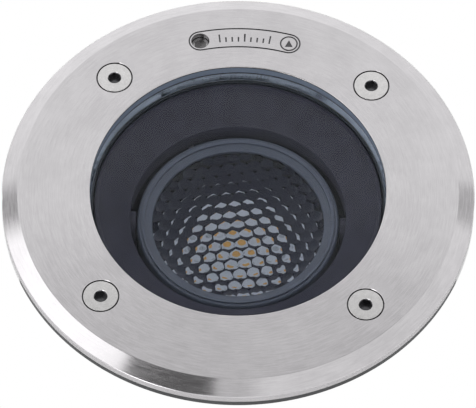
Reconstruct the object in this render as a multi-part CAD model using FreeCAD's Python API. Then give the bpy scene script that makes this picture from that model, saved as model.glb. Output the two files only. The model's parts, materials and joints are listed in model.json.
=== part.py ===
"""In-ground well light: a steel trim and a glass over a lamp head that tilts inside a buried pot.

Millimetres, +Z up. The origin is the centre of the ground hole at ground level, which is
the underside of the mounting sleeve's flange. +Y is the side with the tilt adjuster.
"""
import FreeCAD, Part
import math
import os

# ---------------------------------------------------------------- driving dimensions

# trim ring
TRIM_R = 82.5  # outer radius
TRIM_BORDER = 30.9  # from the outer edge to the glass opening
TRIM_PLATE = 3.5  # thickness of the flat plate
BEVEL_W = 5.7  # radial width of the sloping rim
BEVEL_DROP = 3.0
LIP_H = 3.0  # upright edge below the bevel
LIP_WALL = 3.2
EDGE_BREAK = 0.3

# trim screws, countersunk with a hexagon socket
SCREW_COUNT = 4
SCREW_FIRST_DEG = 45.0
SCREW_R = 3.0
SCREW_HEAD_R = 6.0
SCREW_HEAD_RIM = 0.5
SCREW_LENGTH = 26.0
SCREW_TIP = 0.5
SCREW_SUNK = 0.1  # below the trim's face
SCREW_GROOVE = 0.45  # dark gap round the head
HEX_KEY = 4.0  # across flats, the same key for every socket
HEX_DEPTH = 2.6

# tilt marks engraved in the trim
MARK_HALF_DEG = 14.2  # adjuster and round mark, each side of +Y
MARK_SLOT_W = 8.4
MARK_LINE = 0.45
MARK_DEPTH = 0.35
MARK_DISC_R = 3.2
MARK_POINTER = 1.44  # half width of the round mark's pointer
TICK_COUNT = 9
TICK_SPAN_DEG = 16.0
TICK_LONG = 3.4
TICK_SHORT = 2.0

# mounting sleeve
SLEEVE_FLANGE_T = 2.0
SLEEVE_FLANGE_INSET = 0.9  # flange edge inside the trim's edge
SLEEVE_INSET = 4.0  # collar inside the trim's edge
SLEEVE_COLLAR_H = 30.0
SLEEVE_COLLAR_WALL = 3.9
SLEEVE_WALL = 1.8
SLEEVE_DEPTH = 145.0
SLEEVE_BASE_T = 3.0
DRAIN_CLEAR = 4.0  # drain opening beyond the cable's straight way
SLEEVE_RIBS = 12
SLEEVE_RIB_W = 2.5
SLEEVE_RIB_GAP = 2.0  # ribs start below the collar
SLEEVE_HOOPS = 2
SLEEVE_HOOP_H = 2.5
CONDUIT_R = 10.2  # bore for a 20 mm conduit
CONDUIT_WALL = 2.8
CONDUIT_LENGTH = 16.0
CONDUIT_RISE = 18.0  # bore axis above the sleeve's base

# pot
POT_GAP = 2.0  # to the sleeve
POT_WALL = 2.0
POT_DEPTH = 112.0
POT_FLOOR = 4.0
POT_CORNER = 6.0
POT_CORNER_IN = 4.2
BOSS_R = 6.5
BOSS_INSET = 6.3  # boss axis inside the pot's wall
BOSS_H = 20.0
STUB_R = 4.5  # bosses of the spring screws
STUB_L = 3.5
BEARING_ARM = 12.0  # adjuster's lower bearing, inside the pot's wall
BEARING_HALF_W = 4.0

# glass and its frame
GLASS_T = 6.0
GLASS_SEAT = 3.9  # glass edge beyond the trim's opening
GASKET_TOP_T = 0.8
GASKET_TOP_W = 8.6
GASKET_LOW_T = 1.0
GASKET_LOW_W = 4.2
FRAME_STEP = 0.6  # frame bore inside the trim's opening
FRAME_LEDGE = 5.2
ORING_R = 0.8

# cup below the glass
CUP_RIM_GAP = 2.2  # rim inside the frame's bore
CUP_TOP_GAP = 0.7  # rim below the glass
CUP_H = 9.4
CUP_SKIRT_H = 6.6  # below the throat, round the head
CUP_LUG_GAP = 1.0  # round the head's lugs
CUP_WALL = 1.5
CUP_THROAT_GAP = 2.5  # throat outside the head
CUP_FLANGE_W = 6.0  # beyond the frame's bore

# lamp head
HEAD_R = 35.5
HEAD_DROP = 2.6  # head's upper edge below the cup's cone
PIVOT_DROP = 4.2  # tilt axis below the head's upper edge
TILT_MAX = 20.0
BEZEL_W = 5.3
BEZEL_SLOPE = 1.4
BEZEL_LIP = 1.2
BEZEL_SKIRT_H = 8.0
BEZEL_SKIRT_T = 1.5
BEZEL_EDGE = 0.8
LENS_EDGE_T = 1.6
LENS_SEAT = 2.4
LENS_RISE = 0.9
LENS_GASKET_W = 2.1
LENS_GASKET_T = 0.8
CAN_WALL = 2.2
CAN_FLOOR = 4.0
CAVITY_H = 13.2  # lens seat to the floor that carries the light source
SINK_R = 34.0
SINK_BASE = 4.0
SINK_FIN_H = 21.0
SINK_FIN_T = 2.0
SINK_PITCH = 6.4
PAD_T = 0.8
PAD_R = 30.0
SOURCE_HOLDER_R = 17.5
SOURCE_HOLDER_T = 3.2
SOURCE_WINDOW_R = 7.6
SOURCE_BOARD = 19.0
SOURCE_BOARD_T = 1.5
SOURCE_R = 5.0
SOURCE_T = 0.8
CONE_WALL = 1.0
CONE_INSET = 2.5  # mouth inside the lens's edge
CONE_DROP = 0.4  # mouth below the can's rim
SOURCE_WINDOW_EDGE = 1.2
HOLDER_EDGE = 0.4
HOLDER_SCREW_INSET = 4.2
HEAD_SCREW_INSET = 4.5  # inside the pad's edge

# tilt pivots
LUG_T = 5.0
LUG_R = 4.5
LUG_ROOT = 1.0  # above the can's underside
PIVOT_R = 3.0
PIVOT_THREAD_R = 2.5
PIVOT_HEAD_R = 5.0
PIVOT_HEAD_T = 2.2
DRIVE_SLOT = 0.5  # half width of a screwdriver slot
BUSH_WALL = 0.95
YOKE_T = 2.5
YOKE_HALF_W = 8.0
YOKE_GAP = 5.22  # yoke outside the cup's throat
YOKE_REACH = 5.5  # the most that the yoke stands inside the frame's bore
YOKE_EDGE = 2.5  # screws inside the foot's end
YOKE_SIDE = 3.0  # screws inside the foot's sides
YOKE_FOOT = 12.0
YOKE_FOOT_T = 2.0

# tilt adjuster
ADJUST_R = 3.05  # head that the key turns
ADJUST_SUNK = 2.5  # below the trim's face
ADJUST_NECK_R = 2.5
ADJUST_HEAD_L = 6.5
ADJUST_TIP_R = 2.0
ADJUST_TIP_L = 6.0
ADJUST_LEAD = 2.0  # travel of the carriage per turn, two-start thread
BUSH_R = 4.0
BUSH_HEAD_R = 5.2
BUSH_HEAD_H = 2.4
BUSH_PROUD = 0.8  # below the frame
SEAL_R = 4.3
SEAL_H = 1.5
CLIP_R = 4.4
CLIP_T = 0.8
CLIP_MOUTH = 1.6
LEVER_T = 3.0
LEVER_EYE_R = 3.6
LEVER_PIN_R = 1.5
LEVER_PIN_INSET = 8.3  # lever pin inside the adjuster's axis
LEVER_PIN_RISE = 4.0  # lever pin above the tilt axis
LEVER_BLOCK = 7.5  # depth of the lever's screwed end
LEVER_TOP_GAP = 1.0
LEVER_LOW_GAP = 2.0
LEVER_SCREW_EDGE = 3.4
LEVER_TANGENT_DEG = 140.0  # where the lever's upper edge meets its eye
LEVER_PAD_W = 8.0
LEVER_PAD_ROOT = 4.0
CARRIAGE_R = 4.5
CARRIAGE_ABOVE = 3.0
CARRIAGE_BELOW = 8.0
CHEEK_T = 2.2
CHEEK_H = 8.0
SLOT_END = 2.2  # cheek beyond the lever pin's slot
BARREL_WALL = 1.2
BEARING_H = 7.0  # adjuster's lower bearing

# electrical gear on the pot's floor
DRIVER_L = 92.0
DRIVER_W = 56.0
DRIVER_H = 22.0
DRIVER_WALL = 2.0
DRIVER_EAR = 10.0
DRIVER_EAR_T = 3.0
DRIVER_EAR_ROOT = 1.0
FOOT_H = 3.0
FOOT_R = 5.0
TERMINAL_L = 32.0
TERMINAL_W = 16.0
TERMINAL_H = 14.0
TERMINAL_GAP = 8.0  # to the driver
TERMINAL_EDGE = 3.5  # fixing screws inside its ends
WIRE_R = 1.6
WIRE_RISE = 5.5
CLAMP_FLOOR = 4.0
CLAMP_SUNK = 1.0
CLAMP_SLOT = 0.3
EARTH_INSET = 12.46  # earth screw inside the pot's wall
TAG_T = 1.0
TAG_R = 4.0
TAG_HALF_W = 2.0
TAG_REACH = 11.0
TAG_BLADE_H = 6.0
GLAND_INSET = 19.35  # gland axis inside the pot's wall, towards -Y
GLAND_R = 10.0
GLAND_HEX = 27.0
GLAND_HEX_T = 6.0
GLAND_LENGTH = 21.5
GLAND_SEAL_R = 6.4
GLAND_NUT_WALL = 2.0
GLAND_OVER = 3.0  # thread above its nut
GLAND_THROAT = 6.0
GLAND_BORE_GAP = 1.2  # bore outside the cable
GLAND_NUT_GAP = 1.0
GLAND_NUT_FLOOR = 2.5
GLAND_DOME = 4.0
GLAND_GRIPS = 12
GLAND_GRIP_R = 0.8
CABLE_R = 4.0
WASHER_T = 1.5
WASHER_INSET = 1.0
LOCKNUT_T = 5.0
VENT_INSET = 15.15  # vent axis inside the pot's wall
VENT_DEG = 233.6
VENT_R = 6.0
VENT_HEAD_W = 2.5
VENT_HEAD_H = 4.0
VENT_OVER = 6.0  # above the pot's floor
VENT_HOLE_R = 1.5
VENT_HEX = 18.0
VENT_NUT_T = 4.0

# leaf springs between pot and sleeve
SPRING_COUNT = 3
SPRING_FIRST_DEG = 30.0
SPRING_W = 12.0
SPRING_T = 0.8
SPRING_L = 56.0
SPRING_TOP = 32.0  # below ground
SPRING_BOW = 0.7
SPRING_BOW_HALF = 5.0
SPRING_SCREW_DROP = 6.0
SPRING_HEAD_H = 0.8

# small fasteners: shank and head radii, head height
M4 = (2.0, 3.5, 2.2)
M3 = (1.5, 2.8, 1.8)
GRIP_FRAME = 4.0  # thread in each piece
GRIP_FLOOR = 2.0
GRIP_WALL = 2.0
GRIP_CAN = 2.5
GRIP_LEVER = 6.0
HOLE_SPARE = 0.5  # hole beyond the screw's tip
FIN_ROOT = 1.0

# clearances
FIT = 0.2  # between pieces that lie in each other
RUN = 0.05  # running fit of a turning shaft, on the radius
THREAD = 0.05  # screw in its thread, on the radius
FREE = 0.3  # clear of a piece that moves

# ---------------------------------------------------------------- derived places

trim_low = SLEEVE_FLANGE_T
trim_top = trim_low + LIP_H + BEVEL_DROP
trim_under = trim_top - TRIM_PLATE
trim_hole_r = TRIM_R - TRIM_BORDER
trim_flat_r = TRIM_R - BEVEL_W
trim_cavity_r = TRIM_R - LIP_WALL

sleeve_collar_r = TRIM_R - SLEEVE_INSET
sleeve_in_r = sleeve_collar_r - SLEEVE_COLLAR_WALL
sleeve_wall_r = sleeve_in_r + SLEEVE_WALL
sleeve_low = -SLEEVE_DEPTH
conduit_z = sleeve_low + CONDUIT_RISE

pot_r = sleeve_in_r - POT_GAP
pot_in_r = pot_r - POT_WALL
pot_flange_r = trim_cavity_r - 2 * FIT
pot_low = -POT_DEPTH
pot_floor_z = pot_low + POT_FLOOR
screw_circle_r = pot_in_r - BOSS_INSET

glass_r = trim_hole_r + GLASS_SEAT
glass_top = trim_under - GASKET_TOP_T
glass_low = glass_top - GLASS_T
ledge_z = glass_low - GASKET_LOW_T
frame_r = pot_in_r - FIT
frame_bore_r = trim_hole_r - FRAME_STEP
frame_low = ledge_z - FRAME_LEDGE
frame_pocket_r = glass_r + FIT

cup_rim_r = frame_bore_r - CUP_RIM_GAP
cup_top = glass_low - CUP_TOP_GAP
cup_low = cup_top - CUP_H
cup_throat_r = HEAD_R + CUP_THROAT_GAP
cup_flange_r = frame_bore_r + CUP_FLANGE_W
cup_slope = (cup_rim_r - cup_throat_r) / CUP_H
cup_skew = CUP_WALL * math.hypot(1.0, cup_slope)
cup_flange_low = frame_low - CUP_WALL
cup_screw_r = frame_bore_r + CUP_FLANGE_W / 2

head_top = cup_low - HEAD_DROP
pivot_z = head_top - PIVOT_DROP
bezel_in_r = HEAD_R - BEZEL_W
bezel_in_z = head_top - BEZEL_SLOPE
lens_top = bezel_in_z - BEZEL_LIP
lens_low = lens_top - LENS_EDGE_T
lens_r = bezel_in_r + LENS_SEAT
can_top = lens_low - LENS_GASKET_T
can_neck_r = HEAD_R - BEZEL_SKIRT_T - FIT / 2
can_step_z = head_top - BEZEL_SKIRT_H - FIT
can_floor_z = can_top - CAVITY_H
can_low = can_floor_z - CAN_FLOOR
sink_top = can_low - PAD_T
sink_base_low = sink_top - SINK_BASE
sink_low = sink_base_low - SINK_FIN_H

lug_in_x = HEAD_R + 2.5 * FIT
lug_out_x = lug_in_x + LUG_T
yoke_in_x = max(cup_throat_r + cup_skew + YOKE_GAP, frame_bore_r - YOKE_REACH)
yoke_out_x = yoke_in_x + YOKE_T
yoke_screw_x = yoke_in_x + YOKE_FOOT - YOKE_EDGE
yoke_screw_y = YOKE_HALF_W - YOKE_SIDE

adjust_rad = math.radians(90.0 + MARK_HALF_DEG)
adjust_x = screw_circle_r * math.cos(adjust_rad)
adjust_y = screw_circle_r * math.sin(adjust_rad)
adjust_top = trim_top - ADJUST_SUNK
adjust_shoulder = adjust_top - ADJUST_HEAD_L
bush_low = frame_low - BUSH_PROUD
bush_step = glass_top - BUSH_HEAD_H
clip_top = bush_low - FIT / 2
pin_y = adjust_y - LEVER_PIN_INSET
pin_z = pivot_z + LEVER_PIN_RISE
pin_reach = math.hypot(pin_y, LEVER_PIN_RISE)
pin_lead = math.atan2(LEVER_PIN_RISE, pin_y)
tilt_rad = math.radians(TILT_MAX)
carriage_travel = LEVER_PIN_RISE - pin_reach * math.sin(pin_lead - tilt_rad)
pin_y_min = pin_reach * math.cos(pin_lead - tilt_rad)
carriage_top = pin_z + CARRIAGE_ABOVE
carriage_low = pin_z - CARRIAGE_BELOW
adjust_tip_z = carriage_low - carriage_travel - CARRIAGE_R
lever_in_y = math.sqrt(HEAD_R ** 2 - (abs(adjust_x) - LEVER_T / 2) ** 2) + FREE + FIT
lever_block_y = lever_in_y + LEVER_BLOCK
lever_top = can_step_z - LEVER_TOP_GAP
lever_low = can_low + LEVER_LOW_GAP
lever_mid_y = (lever_in_y + lever_block_y) / 2

driver_low = pot_floor_z + FOOT_H
driver_top = driver_low + DRIVER_H
driver_foot_x = DRIVER_L / 2 + DRIVER_EAR / 2
terminal_y = DRIVER_W / 2 + TERMINAL_GAP + TERMINAL_W / 2
earth_x = math.sqrt((pot_in_r - EARTH_INSET) ** 2 - terminal_y ** 2)
gland_y = GLAND_INSET - pot_in_r
washer_low = pot_low - WASHER_T
gland_hex_low = washer_low - GLAND_HEX_T
gland_nut_r = GLAND_R + GLAND_NUT_WALL
vent_x = (pot_in_r - VENT_INSET) * math.cos(math.radians(VENT_DEG))
vent_y = (pot_in_r - VENT_INSET) * math.sin(math.radians(VENT_DEG))
sleeve_drain_r = CABLE_R + DRAIN_CLEAR - gland_y


# ---------------------------------------------------------------- shape helpers

def polar(radius, degrees):
    """X and Y of a point at a radius and an angle from +X."""
    angle = math.radians(degrees)
    return radius * math.cos(angle), radius * math.sin(angle)


def rod(radius, z_low, z_high, x=0.0, y=0.0):
    """Upright cylinder."""
    return Part.makeCylinder(radius, z_high - z_low, FreeCAD.Vector(x, y, z_low))


def cross_rod(radius, x_low, x_high, y, z):
    """Cylinder along X."""
    base = FreeCAD.Vector(x_low, y, z)
    return Part.makeCylinder(radius, x_high - x_low, base, FreeCAD.Vector(1, 0, 0))


def ring(r_in, r_out, z_low, z_high, x=0.0, y=0.0):
    """Upright tube."""
    return rod(r_out, z_low, z_high, x, y).cut(rod(r_in, z_low, z_high, x, y))


def block(x_low, x_high, y_low, y_high, z_low, z_high):
    """Box between two corners."""
    corner = FreeCAD.Vector(x_low, y_low, z_low)
    return Part.makeBox(x_high - x_low, y_high - y_low, z_high - z_low, corner)


def lathe(points, x=0.0, y=0.0):
    """Closed outline of (radius, z) points turned about an upright axis."""
    outline = [FreeCAD.Vector(r, 0, z) for r, z in points]
    face = Part.Face(Part.makePolygon(outline + outline[:1]))
    solid = face.revolve(FreeCAD.Vector(0, 0, 0), FreeCAD.Vector(0, 0, 1), 360)
    solid.translate(FreeCAD.Vector(x, y, 0))
    return solid


def prism(points, height, z_low):
    """Flat outline of (x, y) points pulled upwards."""
    outline = [FreeCAD.Vector(px, py, z_low) for px, py in points]
    face = Part.Face(Part.makePolygon(outline + outline[:1]))
    return face.extrude(FreeCAD.Vector(0, 0, height))


def hexagon(across, z_low, z_high, x=0.0, y=0.0, first_deg=30.0):
    """Upright hexagonal bar with its first corner at an angle from +X."""
    corner_r = across / math.sqrt(3)
    corners = []
    for step in range(6):
        px, py = polar(corner_r, 60 * step + first_deg)
        corners.append((x + px, y + py))
    return prism(corners, z_high - z_low, z_low)


def side_plate(points, x_low, x_high):
    """Outline of (y, z) points pulled along X."""
    outline = [FreeCAD.Vector(x_low, py, pz) for py, pz in points]
    face = Part.Face(Part.makePolygon(outline + outline[:1]))
    return face.extrude(FreeCAD.Vector(x_high - x_low, 0, 0))


def turned(shape, degrees):
    """Copy turned about the light's upright axis."""
    copy = shape.copy()
    copy.rotate(FreeCAD.Vector(0, 0, 0), FreeCAD.Vector(0, 0, 1), degrees)
    return copy


def joined(shapes):
    """One solid from overlapping solids."""
    return shapes[0].multiFuse(shapes[1:]).removeSplitter()


def group(shapes):
    """Separate solids that share a node."""
    return Part.makeCompound(shapes)


def pan_screw(size, x, y, seat_z, tip_z):
    """Pan head screw that points up from a seat or down from it, with a cross recess."""
    shank_r, head_r, head_h = size
    up = tip_z > seat_z
    shank = rod(shank_r, min(seat_z, tip_z), max(seat_z, tip_z), x, y)
    head_low = seat_z - head_h if up else seat_z
    head = rod(head_r, head_low, head_low + head_h, x, y)
    outer_z = head_low if up else head_low + head_h
    recess_low = outer_z if up else outer_z - head_h / 2
    long_arm = head_r * 0.6
    short_arm = head_r * 0.14
    recess_high = recess_low + head_h / 2
    arm_x = block(x - long_arm, x + long_arm, y - short_arm, y + short_arm, recess_low, recess_high)
    arm_y = block(x - short_arm, x + short_arm, y - long_arm, y + long_arm, recess_low, recess_high)
    return joined([head, shank]).cut(arm_x).cut(arm_y)


def screw_places():
    """X and Y of each trim screw."""
    step = 360.0 / SCREW_COUNT
    return [polar(screw_circle_r, SCREW_FIRST_DEG + step * index) for index in range(SCREW_COUNT)]


# ---------------------------------------------------------------- trim and its marks

def curved_slot(half_width, z_low, z_high):
    """Arc-shaped slot round the adjuster and the round mark."""
    inner = screw_circle_r - half_width
    outer = screw_circle_r + half_width
    band = ring(inner, outer, z_low, z_high)
    reach = TRIM_R / math.cos(math.radians(MARK_HALF_DEG))
    left = polar(reach, 90 + MARK_HALF_DEG)
    right = polar(reach, 90 - MARK_HALF_DEG)
    sector = band.common(prism([(0, 0), right, left], z_high - z_low, z_low))
    ends = []
    for side in (-1, 1):
        x, y = polar(screw_circle_r, 90 + side * MARK_HALF_DEG)
        ends.append(rod(half_width, z_low, z_high, x, y))
    return joined([sector] + ends)


def tilt_marks():
    """Engraved slot outline, tick scale and round mark with a pointer."""
    low = trim_top - MARK_DEPTH
    high = trim_top + MARK_DEPTH
    marks = [curved_slot(MARK_SLOT_W / 2, low, high).cut(curved_slot(MARK_SLOT_W / 2 - MARK_LINE, low, high))]
    middle = (TICK_COUNT - 1) // 2
    for index in range(TICK_COUNT):
        length = TICK_LONG if (index - middle) % 4 == 0 else TICK_SHORT
        half = MARK_LINE / 2
        start = screw_circle_r - TICK_LONG / 2
        tick = block(start, start + length, -half, half, low, high)
        marks.append(turned(tick, 90 + TICK_SPAN_DEG * (index / (TICK_COUNT - 1) - 0.5)))
    disc_x, disc_y = polar(screw_circle_r, 90 - MARK_HALF_DEG)
    marks.append(ring(MARK_DISC_R - MARK_LINE, MARK_DISC_R, low, high, disc_x, disc_y))
    half = MARK_POINTER
    pointer = [(disc_x - half, disc_y - half), (disc_x + half, disc_y - half), (disc_x, disc_y + half)]
    marks.append(prism(pointer, high - low, low))
    return marks


def make_trim_ring():
    """Dished steel ring with a bevelled rim, countersinks, the adjuster's hole and the marks."""
    outline = [
        (trim_hole_r, trim_under),
        (trim_cavity_r, trim_under),
        (trim_cavity_r, trim_low),
        (TRIM_R, trim_low),
        (TRIM_R, trim_low + LIP_H),
        (trim_flat_r, trim_top),
        (trim_hole_r + EDGE_BREAK, trim_top),
        (trim_hole_r, trim_top - EDGE_BREAK),
    ]
    body = lathe(outline)
    for x, y in screw_places():
        recess_low = trim_top - SCREW_SUNK - SCREW_HEAD_RIM
        body = body.cut(rod(SCREW_HEAD_R + SCREW_GROOVE, recess_low, trim_top, x, y))
        depth = recess_low - trim_under
        wide = SCREW_HEAD_R + THREAD
        sink = Part.makeCone(wide - depth, wide, depth, FreeCAD.Vector(x, y, trim_under))
        body = body.cut(sink)
    body = body.cut(rod(ADJUST_R + FIT, trim_under, trim_top, adjust_x, adjust_y))
    for mark in tilt_marks():
        body = body.cut(mark)
    return body


def make_trim_screws():
    """Countersunk screws, flush with the trim."""
    top = trim_top - SCREW_SUNK
    rim_low = top - SCREW_HEAD_RIM
    cone_low = rim_low - (SCREW_HEAD_R - SCREW_R)
    screws = []
    for x, y in screw_places():
        outline = [
            (0, top - SCREW_LENGTH),
            (SCREW_R - SCREW_TIP, top - SCREW_LENGTH),
            (SCREW_R, top - SCREW_LENGTH + SCREW_TIP),
            (SCREW_R, cone_low),
            (SCREW_HEAD_R, rim_low),
            (SCREW_HEAD_R, top),
            (0, top),
        ]
        screw = lathe(outline, x, y)
        screws.append(screw.cut(hexagon(HEX_KEY, top - HEX_DEPTH, top, x, y)))
    return group(screws)


def make_trim_gasket():
    """Flat seal that the trim presses on the glass and its frame."""
    inner = trim_hole_r + FIT
    return ring(inner, inner + GASKET_TOP_W, glass_top, trim_under)


# ---------------------------------------------------------------- glass, frame and pot

def make_front_glass():
    """Tempered disc with ground edges."""
    outline = [
        (0, glass_low),
        (glass_r - EDGE_BREAK, glass_low),
        (glass_r, glass_low + EDGE_BREAK),
        (glass_r, glass_top - EDGE_BREAK),
        (glass_r - EDGE_BREAK, glass_top),
        (0, glass_top),
    ]
    return lathe(outline)


def make_glass_gasket():
    """Seal below the glass."""
    return ring(glass_r - GASKET_LOW_W, glass_r, ledge_z, glass_low)


def cup_screw_places():
    """X and Y of the cup's own screws, clear of the yokes."""
    return [polar(cup_screw_r, degrees) for degrees in (90, 270)]


def yoke_screw_places():
    """X and Y of the yoke screws, two at each side."""
    places = []
    for side in (-1, 1):
        for end in (-1, 1):
            places.append((side * yoke_screw_x, end * yoke_screw_y))
    return places


def oring_z():
    """Height of the seal round the frame."""
    return (ledge_z + glass_low) / 2


def make_glass_frame():
    """Cast ring that carries the glass, the cup, the yokes and the adjuster's bush."""
    outline = [
        (frame_bore_r, frame_low),
        (frame_r, frame_low),
        (frame_r, glass_top),
        (frame_pocket_r, glass_top),
        (frame_pocket_r, ledge_z),
        (frame_bore_r, ledge_z),
    ]
    body = lathe(outline)
    groove_half = ORING_R + FIT
    groove_z = oring_z()
    groove_low, groove_high = groove_z - groove_half, groove_z + groove_half
    body = body.cut(ring(frame_r - 2 * ORING_R, frame_r + FIT, groove_low, groove_high))
    for x, y in screw_places():
        body = body.cut(rod(SCREW_R + FREE, frame_low, glass_top, x, y))
    body = body.cut(rod(BUSH_R, frame_low, glass_top, adjust_x, adjust_y))
    body = body.cut(rod(BUSH_HEAD_R, bush_step, glass_top, adjust_x, adjust_y))
    for x, y in yoke_screw_places():
        body = body.cut(rod(M4[0] + THREAD, frame_low, frame_low + GRIP_FRAME + HOLE_SPARE, x, y))
    for x, y in cup_screw_places():
        body = body.cut(rod(M3[0] + THREAD, frame_low, frame_low + GRIP_FRAME + HOLE_SPARE, x, y))
    return body


def make_frame_o_ring():
    """Round seal between the frame and the pot."""
    return Part.makeTorus(frame_r - ORING_R + FIT / 2, ORING_R, FreeCAD.Vector(0, 0, oring_z()))


def spring_angles():
    """Angles of the leaf springs round the pot."""
    return [SPRING_FIRST_DEG + 360.0 / SPRING_COUNT * index for index in range(SPRING_COUNT)]


def spring_screw_z():
    """Height of the springs' screws."""
    return -SPRING_TOP - SPRING_SCREW_DROP


def screw_floor_z():
    """Lower end of the blind holes in the pot's floor."""
    return pot_floor_z - GRIP_FLOOR - HOLE_SPARE


def pot_bosses():
    """Columns under the trim screws, spring screw bosses and the adjuster's lower bearing."""
    bosses = []
    for x, y in screw_places():
        bosses.append(rod(BOSS_R, frame_low - BOSS_H, frame_low, x, y))
    screw_z = spring_screw_z()
    for degrees in spring_angles():
        stub = cross_rod(STUB_R, pot_in_r - STUB_L, pot_r - POT_WALL / 2, 0, screw_z)
        bosses.append(turned(stub, degrees))
    bearing_low = adjust_tip_z - BEARING_H
    arm_in = pot_in_r - BEARING_ARM
    half = BEARING_HALF_W
    arm = block(arm_in, pot_r - POT_WALL / 2, -half, half, bearing_low, adjust_tip_z - FREE)
    bosses.append(turned(arm, math.degrees(adjust_rad)))
    for side in (-1, 1):
        bosses.append(rod(FOOT_R, pot_floor_z - POT_FLOOR / 2, driver_low, side * driver_foot_x, 0))
    return bosses


def make_housing_pot():
    """Cast pot with a flange, inner bosses and holes for the gland and the vent."""
    shell = lathe([
        (0, pot_low),
        (pot_r - POT_CORNER, pot_low),
        (pot_r, pot_low + POT_CORNER),
        (pot_r, trim_low),
        (pot_flange_r, trim_low),
        (pot_flange_r, trim_under),
        (pot_in_r, trim_under),
        (pot_in_r, pot_floor_z + POT_CORNER_IN),
        (pot_in_r - POT_CORNER_IN, pot_floor_z),
        (0, pot_floor_z),
    ])
    keep = rod(pot_r - POT_WALL / 2, pot_low, trim_under)
    body = joined([shell] + [boss.common(keep) for boss in pot_bosses()])
    screw_tip = trim_top - SCREW_SUNK - SCREW_LENGTH
    for x, y in screw_places():
        body = body.cut(rod(SCREW_R + THREAD, screw_tip - HOLE_SPARE, frame_low, x, y))
    for degrees in spring_angles():
        hole = cross_rod(M4[0] + THREAD, pot_in_r - GRIP_WALL - HOLE_SPARE, pot_r + FIT, 0, spring_screw_z())
        body = body.cut(turned(hole, degrees))
    body = body.cut(rod(ADJUST_TIP_R + RUN, adjust_tip_z - ADJUST_TIP_L, adjust_tip_z, adjust_x, adjust_y))
    for side in (-1, 1):
        body = body.cut(rod(M4[0] + THREAD, screw_floor_z(), driver_low, side * driver_foot_x, 0))
    body = body.cut(rod(GLAND_R + FIT, pot_low, pot_floor_z, 0, gland_y))
    body = body.cut(rod(VENT_R + FIT, pot_low, pot_floor_z, vent_x, vent_y))
    for side in (-1, 1):
        x = side * terminal_screw_x()
        body = body.cut(rod(M3[0] + THREAD, screw_floor_z(), pot_floor_z, x, terminal_y))
    body = body.cut(rod(M4[0] + THREAD, screw_floor_z(), pot_floor_z, earth_x, terminal_y))
    return body


# ---------------------------------------------------------------- cup

def cup_inner_r(z):
    """Radius of the cup's inner cone at a height."""
    return cup_throat_r + (z - cup_low) * cup_slope


def make_glare_cup():
    """Dark conical cup: rolled rim, flange under the frame, skirt notched for the head's lugs."""
    rim_out_r = cup_rim_r + CUP_WALL
    rim_side_z = cup_top - (cup_rim_r + cup_skew - rim_out_r) / cup_slope
    outline = [
        (cup_rim_r, cup_top),
        (rim_out_r, cup_top),
        (rim_out_r, rim_side_z),
        (cup_inner_r(frame_low) + cup_skew, frame_low),
        (cup_flange_r, frame_low),
        (cup_flange_r, cup_flange_low),
        (cup_inner_r(cup_flange_low) + cup_skew, cup_flange_low),
        (cup_throat_r + cup_skew, cup_low),
        (cup_throat_r + CUP_WALL, cup_low - CUP_SKIRT_H),
        (cup_throat_r, cup_low - CUP_SKIRT_H),
        (cup_throat_r, cup_low),
    ]
    body = lathe(outline)
    notch = LUG_R + CUP_LUG_GAP
    skirt_low = cup_low - CUP_SKIRT_H
    body = body.cut(block(-cup_flange_r, cup_flange_r, -notch, notch, skirt_low, pivot_z + notch))
    for x, y in yoke_screw_places():
        body = body.cut(rod(M4[0] + FIT, cup_flange_low, frame_low, x, y))
    for x, y in cup_screw_places():
        body = body.cut(rod(M3[0] + FIT, cup_flange_low, frame_low, x, y))
    return body


def make_cup_screws():
    """Two screws from below through the cup's flange."""
    return group([pan_screw(M3, x, y, cup_flange_low, frame_low + GRIP_FRAME) for x, y in cup_screw_places()])


# ---------------------------------------------------------------- yokes and pivots

def make_yoke(side):
    """Angle bracket: a foot under the cup's flange and an ear round the tilt axis."""
    foot_top = cup_flange_low
    foot_low = foot_top - YOKE_FOOT_T
    inner, outer = sorted((side * yoke_in_x, side * yoke_out_x))
    foot_a, foot_b = sorted((side * yoke_in_x, side * (yoke_in_x + YOKE_FOOT)))
    ear = block(inner, outer, -YOKE_HALF_W, YOKE_HALF_W, pivot_z, foot_top)
    ear_end = cross_rod(YOKE_HALF_W, inner, outer, 0, pivot_z)
    foot = block(foot_a, foot_b, -YOKE_HALF_W, YOKE_HALF_W, foot_low, foot_top)
    body = joined([ear, ear_end, foot])
    body = body.cut(cross_rod(PIVOT_R + RUN + BUSH_WALL, inner, outer, 0, pivot_z))
    for x, y in yoke_screw_places():
        body = body.cut(rod(M4[0] + FIT, foot_low, foot_top, x, y))
    return body


def make_yoke_screws():
    """Four screws from below through the yokes and the cup into the frame."""
    seat = cup_flange_low - YOKE_FOOT_T
    return group([pan_screw(M4, x, y, seat, frame_low + GRIP_FRAME) for x, y in yoke_screw_places()])


def make_pivot_bushes():
    """Plastic bushes in the yokes that space the head."""
    bushes = []
    for side in (-1, 1):
        spacer = sorted((side * (lug_out_x + FREE), side * yoke_in_x))
        sleeve = sorted((side * yoke_in_x, side * yoke_out_x))
        outer = joined([
            cross_rod(LUG_R, spacer[0], spacer[1], 0, pivot_z),
            cross_rod(PIVOT_R + RUN + BUSH_WALL, sleeve[0], sleeve[1], 0, pivot_z),
        ])
        bushes.append(outer.cut(cross_rod(PIVOT_R + RUN, -yoke_out_x, yoke_out_x, 0, pivot_z)))
    return group(bushes)


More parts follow.
